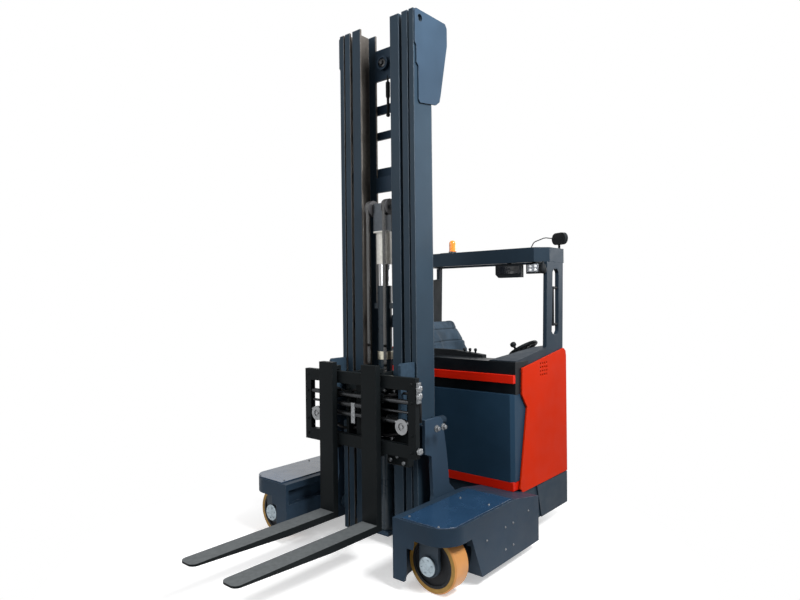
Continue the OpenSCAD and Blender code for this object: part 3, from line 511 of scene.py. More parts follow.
def bevelled_panel(corner_low, corner_high, rim):
    """A thin panel whose edges are chamfered by rim, given its low and high corners."""
    a, b = Vector(corner_low), Vector(corner_high)
    thin = min(range(3), key=lambda k: b[k] - a[k])
    wide = [k for k in range(3) if k != thin]
    verts = []
    for level, inset in ((a[thin], rim), (a[thin] + rim, 0), (b[thin] - rim, 0), (b[thin], rim)):
        ring = ((a[wide[0]] + inset, a[wide[1]] + inset), (b[wide[0]] - inset, a[wide[1]] + inset),
                (b[wide[0]] - inset, b[wide[1]] - inset), (a[wide[0]] + inset, b[wide[1]] - inset))
        for u, v in ring:
            point = Vector((0, 0, 0))
            point[thin], point[wide[0]], point[wide[1]] = level, u, v
            verts.append(point)
    faces = [(3, 2, 1, 0), (12, 13, 14, 15)]
    for row in range(3):
        for i in range(4):
            j = (i + 1) % 4
            faces.append((row * 4 + i, row * 4 + j, row * 4 + 4 + j, row * 4 + 4 + i))
    return verts, faces


BLOCK_STEPS = 26
BLOCK_POWER = 5.0


def soft_block(a, b, crown):
    """A stuffed block between two corners: rounded like a superellipsoid, with a crowned top."""
    centre = (Vector(a) + Vector(b)) / 2
    half = (Vector(b) - Vector(a)) / 2
    verts, faces, index = [], [], {}
    steps, power = BLOCK_STEPS, BLOCK_POWER

    def add(u, v, w):
        key = (round(u, 5), round(v, 5), round(w, 5))
        if key not in index:
            size = (abs(u) ** power + abs(v) ** power + abs(w) ** power) ** (1 / power)
            unit = Vector((u, v, w)) / size
            lift = crown * (1 - unit.x ** 2) * (1 - unit.y ** 2) * max(0.0, unit.z)
            height = unit.z * (half.z - crown) + lift
            index[key] = len(verts)
            verts.append(centre + Vector((unit.x * half.x, unit.y * half.y, height)))
        return index[key]

    ticks = [2 * k / steps - 1 for k in range(steps + 1)]
    for axis in range(3):
        for sign in (-1, 1):
            for p, q in ((p, q) for p in range(steps) for q in range(steps)):
                quad = []
                for du, dv in ((0, 0), (1, 0), (1, 1), (0, 1)):
                    point = [0, 0, 0]
                    point[axis] = sign
                    point[(axis + 1) % 3] = ticks[p + du]
                    point[(axis + 2) % 3] = ticks[q + dv]
                    quad.append(add(*point))
                faces.append(tuple(quad if sign > 0 else reversed(quad)))
    return verts, faces


# Seat

# How a cushion is blown up: room left for it, grid of the cover, pressure, steps and furthest move.
STUFFING_ROOM = 0.009
CLOTH_VOXEL = 0.008
CLOTH_PRESSURE = 4.0
CLOTH_FRAMES = 20
CLOTH_CAP = 0.014
NO_MOVE = 1e-9
# How far a cushion is pressed flat on its base, how far the back settles, and the depth of a seam.
SEAT_SINK = 0.012
BACK_SETTLE = 0.018
SEAM_DEEP = 0.006
# Crown of the cushion, and half width of the hollow along its middle as a share of the cushion's.
CUSHION_CROWN = 0.022
CUSHION_HOLLOW = 0.62
# Side view of the back in shares of its depth and height, from its foot round the front to the rear.
BACK_PROFILE = ((0.06, 0.0), (0.50, 0.02), (0.535, 0.19), (0.88, 0.23), (0.985, 0.34), (1.0, 0.50),
                (0.975, 0.63), (0.86, 0.74), (0.66, 0.84), (0.42, 0.945), (0.33, 0.99), (0.22, 1.0),
                (0.08, 0.985), (0.0, 0.93), (0.03, 0.60), (0.08, 0.20))
BACK_SLICES = 30
# The back's middle depth, its waist, its size at the sides as shares of the full one, and its hollow.
BACK_SPINE = 0.45
BACK_WAIST = 0.2
BACK_SIDE = 0.80
BACK_SIDE_TALL = 0.94
BACK_HOLLOW = 0.52
BACK_HOLLOW_HALF = 0.66
# How square the sides of the back and of its hollow are.
SIDE_POWER, SIDE_ROUND = 7, 0.4
HOLLOW_POWER = 4


def mesh_of(obj):
    """The mesh of an object with its modifiers applied."""
    return bpy.data.meshes.new_from_object(obj.evaluated_get(bpy.context.evaluated_depsgraph_get()))


def blown_up(cover):
    """Let pressure swell a closed cover, with no point moved further than the cap."""
    start = [v.co.copy() for v in cover.data.vertices]
    cloth = cover.modifiers.new("cloth", "CLOTH")
    cloth.settings.use_pressure = True
    cloth.settings.uniform_pressure_force = CLOTH_PRESSURE
    cloth.settings.effector_weights.gravity = 0.0
    for number in range(1, CLOTH_FRAMES + 1):
        bpy.context.scene.frame_set(number)
    swollen = mesh_of(cover)
    cover.modifiers.clear()
    bpy.context.scene.frame_set(1)
    for was, vertex in zip(start, swollen.vertices):
        shift = vertex.co - was
        vertex.co = was + shift * min(1.0, CLOTH_CAP / max(shift.length, NO_MOVE))
    cover.data = swollen


def stuffed(verts, faces, corner_low, corner_high, seams):
    """A cover blown up from inside and fitted to its box, with a sewn channel at each height in seams."""
    centre = (corner_low + corner_high) / 2
    size = corner_high - corner_low
    shrink = [1 - 2 * STUFFING_ROOM / length for length in size]
    smaller = [centre + Vector([(v[k] - centre[k]) * shrink[k] for k in range(3)]) for v in verts]
    mesh = bpy.data.meshes.new("cover")
    mesh.from_pydata(smaller, [], faces)
    cover = bpy.data.objects.new("cover", mesh)
    bpy.context.collection.objects.link(cover)
    remesh = cover.modifiers.new("remesh", "REMESH")
    remesh.mode = "VOXEL"
    remesh.voxel_size = CLOTH_VOXEL
    cover.data = mesh_of(cover)
    cover.modifiers.clear()
    blown_up(cover)
    cover.modifiers.new("smooth", "SUBSURF").levels = 1
    fine = mesh_of(cover)
    bpy.data.objects.remove(cover)
    least = Vector([min(v.co[k] for v in fine.vertices) for k in range(3)])
    most = Vector([max(v.co[k] for v in fine.vertices) for k in range(3)])
    foot = corner_low - Vector((0, 0, SEAT_SINK))
    stretch = [(corner_high[k] - foot[k]) / (most[k] - least[k]) for k in range(3)]
    places = []
    for vertex in fine.vertices:
        at = Vector([foot[k] + (vertex.co[k] - least[k]) * stretch[k] for k in range(3)])
        channels = [math.exp(-((at.z - seam) / SEAM_WIDE) ** 2) for seam in seams]
        at -= vertex.normal * SEAM_DEEP * sum(channels)
        places.append(Vector([min(max(at[k], corner_low[k]), corner_high[k]) for k in range(3)]))
    return places, [tuple(p.vertices) for p in fine.polygons]


def hollowed_cushion(a, b):
    """The cushion's cover between two corners: crowned, and lower along its middle."""
    middle_y, middle_z = (a.y + b.y) / 2, (a.z + b.z) / 2
    verts, faces = soft_block(a, b, CUSHION_CROWN)
    for v in verts:
        share = (v.y - middle_y) / (b.y - a.y) * 2
        if v.z > middle_z:
            v.z -= CUSHION_CROWN * max(0.0, 1 - (share / CUSHION_HOLLOW) ** 2)
    return verts, faces


def winged_back(a, b):
    """The back's cover between two corners: its side view in slices, rounded at the sides and hollowed."""
    verts, faces, count = [], [], len(BACK_PROFILE)
    for k in range(BACK_SLICES + 1):
        share = 2 * k / BACK_SLICES - 1
        full = (1 - abs(share) ** SIDE_POWER) ** SIDE_ROUND if abs(share) < 1 else 0.0
        shrink = BACK_SIDE + (1 - BACK_SIDE) * full
        tall = BACK_SIDE_TALL + (1 - BACK_SIDE_TALL) * full
        hollow = BACK_HOLLOW * max(0.0, 1 - (abs(share) / BACK_HOLLOW_HALF) ** HOLLOW_POWER)
        y = a.y + (share + 1) / 2 * (b.y - a.y)
        for u, v in BACK_PROFILE:
            recess = hollow * max(0.0, u - BACK_SPINE) if v > BACK_WAIST else 0.0
            x = BACK_SPINE + (u - recess - BACK_SPINE) * shrink
            z = 0.5 + (v - 0.5) * tall
            verts.append(Vector((a.x + x * (b.x - a.x), y, a.z + z * (b.z - a.z))))
    for k in range(BACK_SLICES):
        for i in range(count):
            j = (i + 1) % count
            faces.append((k * count + i, k * count + j, (k + 1) * count + j, (k + 1) * count + i))
    faces.append(tuple(reversed(range(count))))
    faces.append(tuple(range(BACK_SLICES * count, (BACK_SLICES + 1) * count)))
    return verts, faces


def seat_pieces():
    """The cushion and the winged back, in place of the plain solids."""
    a, b = low("seat_cushion"), high("seat_cushion")
    verts, faces = stuffed(*hollowed_cushion(a, b), a, b, ())
    seat = piece("seat_cushion_soft", verts, faces, FABRIC, "chassis", "seat", smooth=True)
    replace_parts(seat, "seat_cushion")
    a, b = low("seat_back"), high("seat_back")
    settled = Vector((b.x, b.y, b.z - BACK_SETTLE))
    seams = [SEAT_TOP - drop for drop in SEAT_SEAMS]
    verts, faces = stuffed(*winged_back(a, b), a, settled, seams)
    back = piece("seat_back_soft", verts, faces, FABRIC, "chassis", "seat", smooth=True)
    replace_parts(back, "seat_back")


# Legs and load wheels

HANDS = (("right", 1), ("left", -1))
LEG_SCREW = 0.008
# Cover screws: distance in from the leg's outer or inner side, and distance behind the wheel's axle.
COVER_OUTER = ((0.085, -0.130), (0.062, 0.360))
COVER_INNER = ((0.130, 0.360), (0.085, -0.100))
# Bolts on a leg's outer face: distance behind the axle, and height.
LEG_SIDE = ((0.235, 0.260), (0.450, 0.277), (0.545, 0.277), (0.450, 0.139), (0.545, 0.139), (0.745, 0.300))
# Axle cap, in radii and heights, and its ring of bolts.
AXLE_CAP = ((0.056, -0.001), (0.056, 0.004), (0.050, 0.007), (0.020, 0.007), (0.016, 0.004))
AXLE_CAP_SIDES = 32
RING_RADIUS = 0.038
RING_OUT = 0.006
RING_BOLT = 0.009
RING_ANGLES = [math.radians(60 * k + 15) for k in range(6)]


def leg_bolts():
    """Screws of the leg covers, and bolts on the outer faces of the legs."""
    top = high("leg_covers").z
    outer = high("leg_right").x
    inner = low("leg_right").x
    places = [(outer - inset, y) for inset, y in COVER_OUTER]
    places += [(inner + inset, y) for inset, y in COVER_INNER]
    heads = [(side * x, AXLE_Y + y, top) for side in (-1, 1) for x, y in places]
    bolts("cover_screws", heads, (0, 0, 1), LEG_SCREW, SCREW, "chassis", "steel")
    for hand, side in HANDS:
        heads = [(side * outer, AXLE_Y + y, z) for y, z in LEG_SIDE]
        bolts("leg_bolts_" + hand, heads, (side, 0, 0), LEG_SCREW, SCREW, "chassis", "steel")


def axle_caps():
    """A zinc cap with a ring of bolts on each end of a load wheel's axle."""
    for hand, _ in HANDS:
        node = "knuckle_" + hand
        middle = sum(v.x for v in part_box("load_hub_" + hand)) / 2
        height = sum(v.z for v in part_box("load_hub_" + hand)) / 2
        for end in (-1, 1):
            face = low(node).y if end < 0 else high(node).y
            at = Vector((middle, face, height))
            parts = [revolved(AXLE_CAP, at, (0, end, 0), AXLE_CAP_SIDES)]
            for angle in RING_ANGLES:
                out = Vector((RING_RADIUS * math.cos(angle), end * RING_OUT, RING_RADIUS * math.sin(angle)))
                parts.append(bolt(at + out, (0, end, 0), RING_BOLT))
            verts, faces = joined(parts)
            piece("axle_cap_%s_%d" % (hand, end), verts, faces, CAP, "wheel_fork_" + hand, "steel")


# Fork carriage

END_INSET = 0.030
END_BOLT = 0.012
END_BOLT_HEIGHTS = (0.755, 0.860, 1.060, 1.176)
# Hydraulic fittings on the right end, in radii and heights, and where they sit.
FITTING = ((0.014, -0.002), (0.014, 0.006), (0.023, 0.008), (0.023, 0.026), (0.014, 0.030))
FITTING_HEIGHTS = (0.765, 1.105, 1.150)
FITTING_DEEP = 0.020
# Pipes to the right end: their places across, their top, and the lower height and drop of each.
FEED_X = (0.340, 0.400, 0.480)
FEED_TOP = 1.100
FEED_BEHIND = 0.045
FEED_PIPES = ((1.040, 0.110), (1.075, 0.150))
FEED_RADIUS = 0.009
# Pipes across the back: their places across, and the distance behind, height and sag of each.
CROSS_X = (-0.290, -0.180, -0.070, 0.060, 0.170, 0.290)
CROSS_PIPES = ((0.045, 1.090, 0.030), (0.070, 1.050, 0.018), (0.050, 0.830, 0.026))
CROSS_RADIUS = 0.010
# The positioner's motor and its end cap.
MOTOR = ((0.012, 0.0), (0.024, 0.001), (0.024, 0.012), (0.031, 0.014), (0.031, 0.088), (0.026, 0.094))
MOTOR_SIDES = 28
MOTOR_CAP = ((0.010, -0.014), (0.020, -0.012), (0.023, -0.006), (0.023, 0.004))
MOTOR_CAP_SIDES = 24
MOTOR_X, MOTOR_BEHIND, MOTOR_HEIGHT = 0.204, 0.062, 0.925
# Nuts on the backing plate and caps on the valve block, with their places across and heights.
BACKING_BEHIND = 0.094
BACKING_NUT = ((0.008, -0.001), (0.008, 0.012), (0.013, 0.013), (0.013, 0.026), (0.007, 0.030))
BACKING_NUTS = ((0.150, 1.095), (0.200, 1.070), (0.240, 1.100), (0.130, 0.800), (0.215, 0.790))
VALVE_BEHIND = 0.040
VALVE_CAP = ((0.012, -0.002), (0.012, 0.010), (0.008, 0.014))
VALVE_CAP_SIDES = 16
VALVE_CAPS = ((0.235, 0.660), (0.290, 0.690), (0.345, 0.652))
# Panels: from and to across, behind the front or back of the frame and in height, and their chamfer.
STAY = ((-0.054, -0.018), (0.002, 0.012), (0.872, 1.012)), 0.003
CENTRE_PLATE = ((-0.060, -0.012), (0.020, 0.032), (0.772, 1.150)), 0.004
JUNCTION = ((0.031, 0.052), (0.004, 0.036), (1.060, 1.190)), 0.004
# The black backing plate behind the right windows stands for dark parts there and for painted shade.
SHADE_BACKING_PANEL = ((0.060, 0.425), (BACKING_BEHIND, 0.100), (0.720, 1.165)), 0.002
VALVE_BLOCK = ((0.200, 0.380), (VALVE_BEHIND, 0.100), (0.628, 0.716)), 0.006


def carriage_panel(name, start, spans, rim, material, slot):
    """A chamfered panel on the fork carriage, given its span along each axis from a start."""
    corners = [[start[k] + spans[k][end] for k in range(3)] for end in (0, 1)]
    piece(name, *bevelled_panel(*corners, rim), material, "fork_carriage", slot)


def carriage_turned(name, profile, places, axis, sides, material, slot):
    """Turned pieces of one kind on the fork carriage."""
    parts = [revolved(profile, at, axis, sides) for at in places]
    piece(name, *joined(parts), material, "fork_carriage", slot)


def carriage_pipes(back):
    """Two pipes to the right end of the fork carriage, and three across its back."""
    pipes = []
    near, bend, far = FEED_X
    for z, drop in FEED_PIPES:
        y = back + FEED_BEHIND
        path = [(near, y, FEED_TOP), (bend, y, FEED_TOP), (far, y, z), (far, y, z - drop)]
        pipes.append(tube(path, FEED_RADIUS))
    for behind, z, sag in CROSS_PIPES:
        heights = (z, z - sag, z, z, z - sag, z)
        pipes.append(tube([(x, back + behind, height) for x, height in zip(CROSS_X, heights)], CROSS_RADIUS))
    piece("positioner_pipes", *joined(pipes), HOSE, "fork_carriage", "black", smooth=True)


def carriage_trim():
    """Bolts, fittings, pipes, motor, backing plate and valve block of the fork carriage; the black backing
    plate also stands for painted shade in the right windows.
    """
    front, back = low("carriage_frame").y, high("carriage_frame").y
    left, right = low("carriage_frame").x + END_INSET, high("carriage_frame").x - END_INSET
    heads = [(x, front, z) for x in (left, right) for z in END_BOLT_HEIGHTS]
    bolts("end_plate_bolts", heads, (0, -1, 0), END_BOLT, BLACK, "fork_carriage", "black")
    carriage_panel("centre_stay", (0, front, 0), *STAY, NUT, "steel")
    carriage_panel("centre_plate", (0, back, 0), *CENTRE_PLATE, BLACK, "black")
    places = [(right + END_INSET, front + FITTING_DEEP, z) for z in FITTING_HEIGHTS]
    carriage_turned("hydraulic_fittings", FITTING, places, (1, 0, 0), HEX, NUT, "steel")
    carriage_panel("hose_junction", (right, front, 0), *JUNCTION, SCREW, "steel")
    carriage_pipes(back)
    places = [(MOTOR_X, back + MOTOR_BEHIND, MOTOR_HEIGHT)]
    carriage_turned("positioner_motor", MOTOR, places, (1, 0, 0), MOTOR_SIDES, PLASTIC, "black")
    carriage_turned("motor_cap", MOTOR_CAP, places, (1, 0, 0), MOTOR_CAP_SIDES, NUT, "steel")
    carriage_panel("backing_plate_and_painted_shade", (0, back, 0), *SHADE_BACKING_PANEL, BLACK, "black")
    places = [(x, back + BACKING_BEHIND, z) for x, z in BACKING_NUTS]
    carriage_turned("backing_nuts", BACKING_NUT, places, (0, -1, 0), HEX, NUT, "steel")
    carriage_panel("valve_block", (0, back, 0), *VALVE_BLOCK, BLACK, "black")
    places = [(x, back + VALVE_BEHIND, z) for x, z in VALVE_CAPS]
    carriage_turned("valve_caps", VALVE_CAP, places, (0, -1, 0), VALVE_CAP_SIDES, SCREW, "steel")


# Mast

# Leaf chain: pitch, half width, half depth, low end of the rear run, and where the front run is divided.
CHAIN_PITCH = 0.0191
CHAIN_HALF = 0.011
CHAIN_DEEP = 0.006
CHAIN_END = 1.6803
FRONT_SPLIT = (0.5, 0.70, 0.82, 0.90, 1.0)
# Its pins, and its plates: half thickness, places across on odd and even pins, outline along and across.
PIN_RADIUS = 0.0028
PIN_SIDES = 8
PLATE_HALF = 0.0012
PLATES_ODD = (-0.0078, -0.0012, 0.0054)
PLATES_EVEN = (-0.0045, 0.0021, 0.0087)
PLATE_OUTLINE = ((-0.62, -0.3), (-0.62, 0.3), (-0.40, 1.0), (0.40, 1.0), (0.62, 0.3), (0.62, -0.3),
                 (0.40, -1.0), (-0.40, -1.0))
# The chain's anchor and the hub of the top sheave, in radii and heights, and their places.
ANCHOR = ((0.007, 0.0), (0.007, -0.040), (0.016, -0.050), (0.016, -0.150), (0.010, -0.165), (0.010, -0.270),
          (0.014, -0.275), (0.014, -0.290), (0.005, -0.296))
ANCHOR_SIDES = 16
ANCHOR_AT = (-0.020, AXLE_Y + 0.430, 3.310)
HUB = ((0.030, 0.020), (0.030, 0.004), (0.018, 0.000), (0.018, -0.012), (0.012, -0.016))
HUB_SIDES = 24
HUB_AT = (-0.0466, AXLE_Y + 0.395, 3.400)
# Caps on the mast's pivots, and pins of the tilt cylinders on the reach frame.
PIVOT_CAP = ((0.036, -0.001), (0.036, 0.004), (0.030, 0.008), (0.010, 0.008))
PIVOT_CAP_SIDES = 28
PIVOT_Y, PIVOT_Z = AXLE_Y + 0.362, 0.200
TILT_PIN = ((0.022, -0.001), (0.022, 0.006), (0.014, 0.008), (0.014, 0.022), (0.010, 0.025))
TILT_PIN_SIDES = 20
TILT_PINS_Y, TILT_PINS_Z = (AXLE_Y + 0.236, AXLE_Y + 0.308), 0.880


def chain_link(at, along, odd):
    """One link of a leaf chain: a pin across, and three plates that reach past the next pins."""
    across_axis = Vector((1, 0, 0))
    along = Vector(along).normalized()
    deep = across_axis.cross(along)
    parts = [revolved([(PIN_RADIUS, -CHAIN_HALF), (PIN_RADIUS, CHAIN_HALF)], at, across_axis, PIN_SIDES)]
    count = len(PLATE_OUTLINE)
    for place in PLATES_ODD if odd else PLATES_EVEN:
        rows = []
        for x in (place - PLATE_HALF, place + PLATE_HALF):
            for u, v in PLATE_OUTLINE:
                corner = along * (u * 2 * CHAIN_PITCH) + deep * (v * CHAIN_DEEP)
                rows.append(Vector(at) + across_axis * x + corner)
        faces = [tuple(reversed(range(count))), tuple(range(count, 2 * count))]
        faces += [(i, (i + 1) % count, count + (i + 1) % count, count + i) for i in range(count)]
        parts.append((rows, faces))
    return joined(parts)


def chain_run(y, z_low, z_high):
    """The links of both chains between two heights."""
    count = round((z_high - z_low) / CHAIN_PITCH)
    step = (z_high - z_low) / count
    inset = high("lift_chains").x - CHAIN_HALF
    return joined([chain_link((side * inset, y, z_low + (k + 0.5) * step), (0, 0, 1), k % 2)
                   for k in range(count) for side in (-1, 1)])


def eased(t):
    return t * t * (3 - 2 * t)


def chain_section(name, y, here, there):
    """A straight run of both chains between two heights, baked in place on no body."""
    run = piece(name, *chain_run(y, min(here, there), max(here, there)), CHAIN, None, "chain")
    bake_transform(run)


def lift_chain_pieces():
    """Two leaf chains over the free lift sheaves. The wrap rides on the free lift; the straight runs stay
    fixed, the front run in sections.
    """
    a, b = low("lift_chains"), high("lift_chains")
    ring = (b.y - a.y) / 2 - CHAIN_DEEP
    middle = Vector((0, (a.y + b.y) / 2, b.z - (b.y - a.y) / 2))
    wrap = []
    count = round(math.pi * ring / CHAIN_PITCH)
    for k in range(count):
        angle = math.pi * (k + 0.5) / count
        for x in (a.x + CHAIN_HALF, b.x - CHAIN_HALF):
            at = Vector((x, middle.y - ring * math.cos(angle), middle.z + ring * math.sin(angle)))
            wrap.append(chain_link(at, (0, math.sin(angle), math.cos(angle)), k % 2))
    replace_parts(piece("chain_wrap", *joined(wrap), CHAIN, "free_lift", "chain"), "lift_chains")
    chain_section("chain_rear", b.y - CHAIN_DEEP, CHAIN_END, middle.z)
    for k, (t_here, t_there) in enumerate(zip(FRONT_SPLIT, FRONT_SPLIT[1:])):
        here = middle.z + (a.z - middle.z) * (2 * eased(t_here) - 1)
        there = middle.z + (a.z - middle.z) * (2 * eased(t_there) - 1)
        chain_section("chain_front_%d" % (k + 1), a.y + CHAIN_DEEP, here, there)


def mast_trim():
    """The chain's anchor, the hub of the top sheave, the pivots' caps and the tilt cylinders' pins."""
    anchor = revolved(ANCHOR, ANCHOR_AT, (0, 0, 1), ANCHOR_SIDES)
    piece("chain_anchor", *anchor, BLACK, "mast_inner", "black", smooth=True)
    hub = revolved(HUB, HUB_AT, (0, 1, 0), HUB_SIDES)
    piece("sheave_hub", *hub, SHAFT, "mast_inner", "steel")
    pivot = high("outer_rails").x
    for hand, side in HANDS:
        cap = revolved(PIVOT_CAP, (side * pivot, PIVOT_Y, PIVOT_Z), (side, 0, 0), PIVOT_CAP_SIDES)
        piece("pivot_cap_" + hand, *cap, STEEL, "mast_outer", "steel")
    face = high("reach_frame").x
    for hand, side in HANDS:
        places = [(side * face, y, TILT_PINS_Z) for y in TILT_PINS_Y]
        pins = [revolved(TILT_PIN, at, (side, 0, 0), TILT_PIN_SIDES) for at in places]
        piece("tilt_pins_" + hand, *joined(pins), SCREW, "reach_carriage", "steel")


# Cab

# Lamp: frame at the sides and foot, frame at the top, glass in front of and behind the face, diodes.
LAMP_FRAME, LAMP_FRAME_TOP = 0.010, 0.016
LAMP_OUT, LAMP_IN = 0.004, 0.003
LAMP_RIM = 0.002
DIODE_SHARES = (0.27, 0.73)
DIODE_RADIUS = 0.19
DIODE_SHAPE = ((1.0, 0.0), (1.0, 0.002), (0.7, 0.004))
DIODE_OUT = 0.0035
DIODE_SIDES = 16
# Screen: frame at the left, right, foot and top of its glass, glass in front of and behind the face.
SCREEN_LEFT, SCREEN_RIGHT, SCREEN_FOOT, SCREEN_CROWN = 0.030, 0.012, 0.030, 0.022
SCREEN_OUT, SCREEN_IN = 0.003, 0.002
SCREEN_RIM = 0.001
# The horn under the roof's corner, in radii and heights, and its distance in from the corner.
HORN = ((0.006, 0.002), (0.010, -0.014), (0.018, -0.026), (0.026, -0.050), (0.028, -0.070), (0.022, -0.084),
        (0.008, -0.090))
HORN_SIDES = 28
HORN_INSET = 0.022
# The mirror's arm, from the mirror's low side, behind the axle and from the top of the roof.
MIRROR_ARM = ((-0.150, 1.500, -0.002), (-0.120, 1.510, 0.060), (-0.040, 1.540, 0.092), (0.030, 1.562, 0.080))
MIRROR_ARM_RADIUS = 0.004
# Slope of the dash, the switches on it in radii and heights, and their rows.
DASH_RISE = math.atan2(0.145, 0.240)
DASH_UP = (-math.sin(DASH_RISE), 0, math.cos(DASH_RISE))
DASH_EDGE = 0.750
SWITCH = ((0.011, -0.003), (0.011, 0.006), (0.008, 0.009))
SWITCH_SIDES = 16
SWITCH_ROWS = (0.060, 0.105)
SWITCHES_Y = [AXLE_Y + 1.130 + 0.036 * k for k in range(4)]
# Knobs of the steering wheel and of the levers on the armrest.
WHEEL_KNOB = ((0.008, 0.0), (0.010, 0.018), (0.021, 0.026), (0.025, 0.040), (0.020, 0.053), (0.008, 0.059))
WHEEL_KNOB_SIDES = 20
WHEEL_KNOB_X, WHEEL_KNOB_IN, WHEEL_KNOB_Z = 0.484, 0.013, 1.308
LEVER_KNOB = ((0.008, -0.006), (0.011, 0.000), (0.012, 0.008), (0.010, 0.015), (0.004, 0.018))
LEVER_KNOB_SIDES = 18
LEVERS_IN = (0.180, 0.130, 0.080)
LEVERS_BEHIND = 0.032


def lamp_pieces():
    """The work light's glass and its four diodes."""
    a, b = low("work_light"), high("work_light")
    left, right = a.x + LAMP_FRAME, b.x - LAMP_FRAME
    foot, crown = a.z + LAMP_FRAME, b.z - LAMP_FRAME_TOP
    glass = bevelled_panel((left, a.y - LAMP_OUT, foot), (right, a.y + LAMP_IN, crown), LAMP_RIM)
    piece("lamp_glass", *glass, LENS, "chassis", "plastic")
    size = DIODE_RADIUS * min(right - left, crown - foot)
    profile = [(size * radius, height) for radius, height in DIODE_SHAPE]
    diodes = []
    for share in DIODE_SHARES:
        for up in DIODE_SHARES:
            at = (left + share * (right - left), a.y - DIODE_OUT, foot + up * (crown - foot))
            diodes.append(revolved(profile, at, (0, -1, 0), DIODE_SIDES))
    piece("lamp_diodes", *joined(diodes), DIODE, "chassis", "plastic")


def cab_trim():
    """Lamp, screen, horn, mirror arm, switches and knobs."""
    lamp_pieces()
    a, b = low("monitor"), high("monitor")
    glass = bevelled_panel((a.x + SCREEN_LEFT, a.y - SCREEN_OUT, a.z + SCREEN_FOOT),
                           (b.x - SCREEN_RIGHT, a.y + SCREEN_IN, b.z - SCREEN_CROWN), SCREEN_RIM)
    piece("monitor_glass", *glass, SCREEN, "chassis", "plastic")
    a, b = low("guard_roof"), high("guard_roof")
    horn = revolved(HORN, (b.x - HORN_INSET, a.y + HORN_INSET, a.z), (0, 0, 1), HORN_SIDES)
    piece("horn", *horn, PLASTIC, "chassis", "plastic", smooth=True)
    foot = low("mirror").x
    arm = tube([(foot + x, AXLE_Y + y, b.z + z) for x, y, z in MIRROR_ARM], MIRROR_ARM_RADIUS)
    piece("mirror_arm", *arm, PLASTIC, "chassis", "plastic", smooth=True)
    a = low("dash")
    switches = []
    for along in SWITCH_ROWS:
        height = a.z + DASH_EDGE + along * math.tan(DASH_RISE)
        switches += [revolved(SWITCH, (a.x + along, y, height), DASH_UP, SWITCH_SIDES) for y in SWITCHES_Y]
    piece("dash_switches", *joined(switches), STEEL, "chassis", "plastic")
    knob_at = (WHEEL_KNOB_X, low("steering_wheel").y + WHEEL_KNOB_IN, WHEEL_KNOB_Z)
    knob = revolved(WHEEL_KNOB, knob_at, DASH_UP, WHEEL_KNOB_SIDES)
    piece("steering_knob", *knob, PLASTIC, "hand_wheel", "plastic", smooth=True)
    a, b = low("armrest"), high("armrest")
    places = [(b.x - inset, a.y + LEVERS_BEHIND, b.z) for inset in LEVERS_IN]
    knobs = [revolved(LEVER_KNOB, at, (0, 0, 1), LEVER_KNOB_SIDES) for at in places]
    piece("lever_knobs", *joined(knobs), PLASTIC, "chassis", "plastic", smooth=True)


seat_pieces()
leg_bolts()
axle_caps()
carriage_trim()
lift_chain_pieces()
mast_trim()
cab_trim()


# Floor, light and camera

# Strength of the white surroundings as light and as seen.
SKY_LIGHT = 0.46
SKY_SEEN = 1.0
# The floor's half width, its two tones, where it fades to white, and its own glow near the truck.
FLOOR_HALF = 30.0
FLOOR_DARK = (0.88, 0.88, 0.88)
FLOOR_LIGHT = (0.92, 0.92, 0.92)
FLOOR_GRAIN = 2.0
FLOOR_FADE = (0.9, 2.1)
FLOOR_GLOW = 0.42
FLOOR_ROUGH = 0.9


def light_path_share(tree):
    """1 for rays that show the background, 0 for rays that light the object."""
    path = tree.nodes.new("ShaderNodeLightPath")
    first = tree.nodes.new("ShaderNodeMath")
    first.operation = "MAXIMUM"
    link(tree, path.outputs["Is Camera Ray"], first.inputs[0])
    link(tree, path.outputs["Is Glossy Ray"], first.inputs[1])
    second = tree.nodes.new("ShaderNodeMath")
    second.operation = "MAXIMUM"
    link(tree, first.outputs["Value"], second.inputs[0])
    link(tree, path.outputs["Is Transmission Ray"], second.inputs[1])
    return second.outputs["Value"]


def make_world():
    world = bpy.data.worlds.new("studio")
    world.use_nodes = True
    bpy.context.scene.world = world
    tree = world.node_tree
    background = tree.nodes["Background"]
    background.inputs["Color"].default_value = (1, 1, 1, 1)
    strength = tree.nodes.new("ShaderNodeMapRange")
    strength.inputs["To Min"].default_value = SKY_LIGHT
    strength.inputs["To Max"].default_value = SKY_SEEN
    link(tree, light_path_share(tree), strength.inputs["Value"])
    link(tree, strength.outputs["Result"], background.inputs["Strength"])


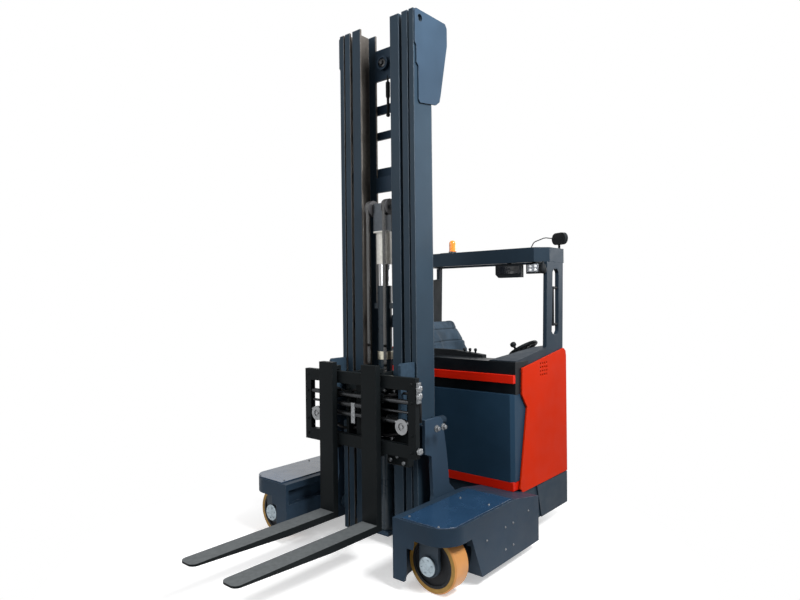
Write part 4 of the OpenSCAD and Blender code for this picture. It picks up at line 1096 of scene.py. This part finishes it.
def make_floor():
    """A pale floor that fades to the white of the background away from the truck."""
    mesh = bpy.data.meshes.new("floor")
    half = FLOOR_HALF
    corners = [(-half, -half, 0), (half, -half, 0), (half, half, 0), (-half, half, 0)]
    mesh.from_pydata(corners, [], [(0, 1, 2, 3)])
    floor = bpy.data.objects.new("floor", mesh)
    bpy.context.collection.objects.link(floor)
    material, tree, bsdf = shader("pale_floor")
    tone = mixed(tree, ranged(tree, noise(tree, FLOOR_GRAIN), 0.0, 1.0), FLOOR_DARK, FLOOR_LIGHT)
    distance = tree.nodes.new("ShaderNodeVectorMath")
    distance.operation = "LENGTH"
    link(tree, object_coordinates(tree), distance.inputs[0])
    away = ranged(tree, distance.outputs["Value"], 0.0, 1.0, *FLOOR_FADE)
    link(tree, mixed(tree, away, tone, (0.0, 0.0, 0.0)), bsdf.inputs["Base Color"])
    bsdf.inputs["Roughness"].default_value = FLOOR_ROUGH
    bsdf.inputs["Specular IOR Level"].default_value = 0.0
    bsdf.inputs["Emission Color"].default_value = (1, 1, 1, 1)
    glow = ranged(tree, away, FLOOR_GLOW, 1.0, 0.0, 1.0)
    link(tree, times(tree, light_path_share(tree), glow), bsdf.inputs["Emission Strength"])
    floor.data.materials.append(material)


def area_light(name, at, towards, size, watts):
    lamp = bpy.data.lights.new(name, "AREA")
    lamp.shape = "SQUARE"
    lamp.size = size
    lamp.energy = watts
    obj = bpy.data.objects.new(name, lamp)
    obj.location = at
    obj.rotation_euler = (Vector(towards) - Vector(at)).to_track_quat("-Z", "Y").to_euler()
    bpy.context.collection.objects.link(obj)


def make_camera():
    look = Vector((-math.sin(CAMERA_AZIMUTH) * math.cos(CAMERA_PITCH),
                   math.cos(CAMERA_AZIMUTH) * math.cos(CAMERA_PITCH), math.sin(CAMERA_PITCH)))
    level = Vector((math.cos(CAMERA_AZIMUTH), math.sin(CAMERA_AZIMUTH), 0))
    up = level.cross(look)
    right = level * math.cos(CAMERA_ROLL) + up * math.sin(CAMERA_ROLL)
    upward = up * math.cos(CAMERA_ROLL) - level * math.sin(CAMERA_ROLL)
    turn = Matrix((right, upward, -look)).transposed().to_4x4()
    data = bpy.data.cameras.new("camera")
    data.sensor_fit = "HORIZONTAL"
    data.sensor_width = CAMERA_SENSOR_MM
    data.lens = CAMERA_LENS_MM
    camera = bpy.data.objects.new("camera", data)
    camera.matrix_world = Matrix.Translation(CAMERA_AT) @ turn
    bpy.context.collection.objects.link(camera)
    bpy.context.scene.camera = camera


make_world()
make_floor()
area_light("key", at=(3.6, -0.3, 4.6), towards=(0.3, 0, 3.9), size=2.0, watts=410)
area_light("fill", at=(-2.5, -6.0, 4.0), towards=(0, 0, 1.4), size=4.0, watts=160)
area_light("rear", at=(1.6, 6.0, 3.4), towards=(0, 0.5, 1.2), size=3.0, watts=140)
make_camera()
bpy.context.scene.view_settings.view_transform = "Standard"
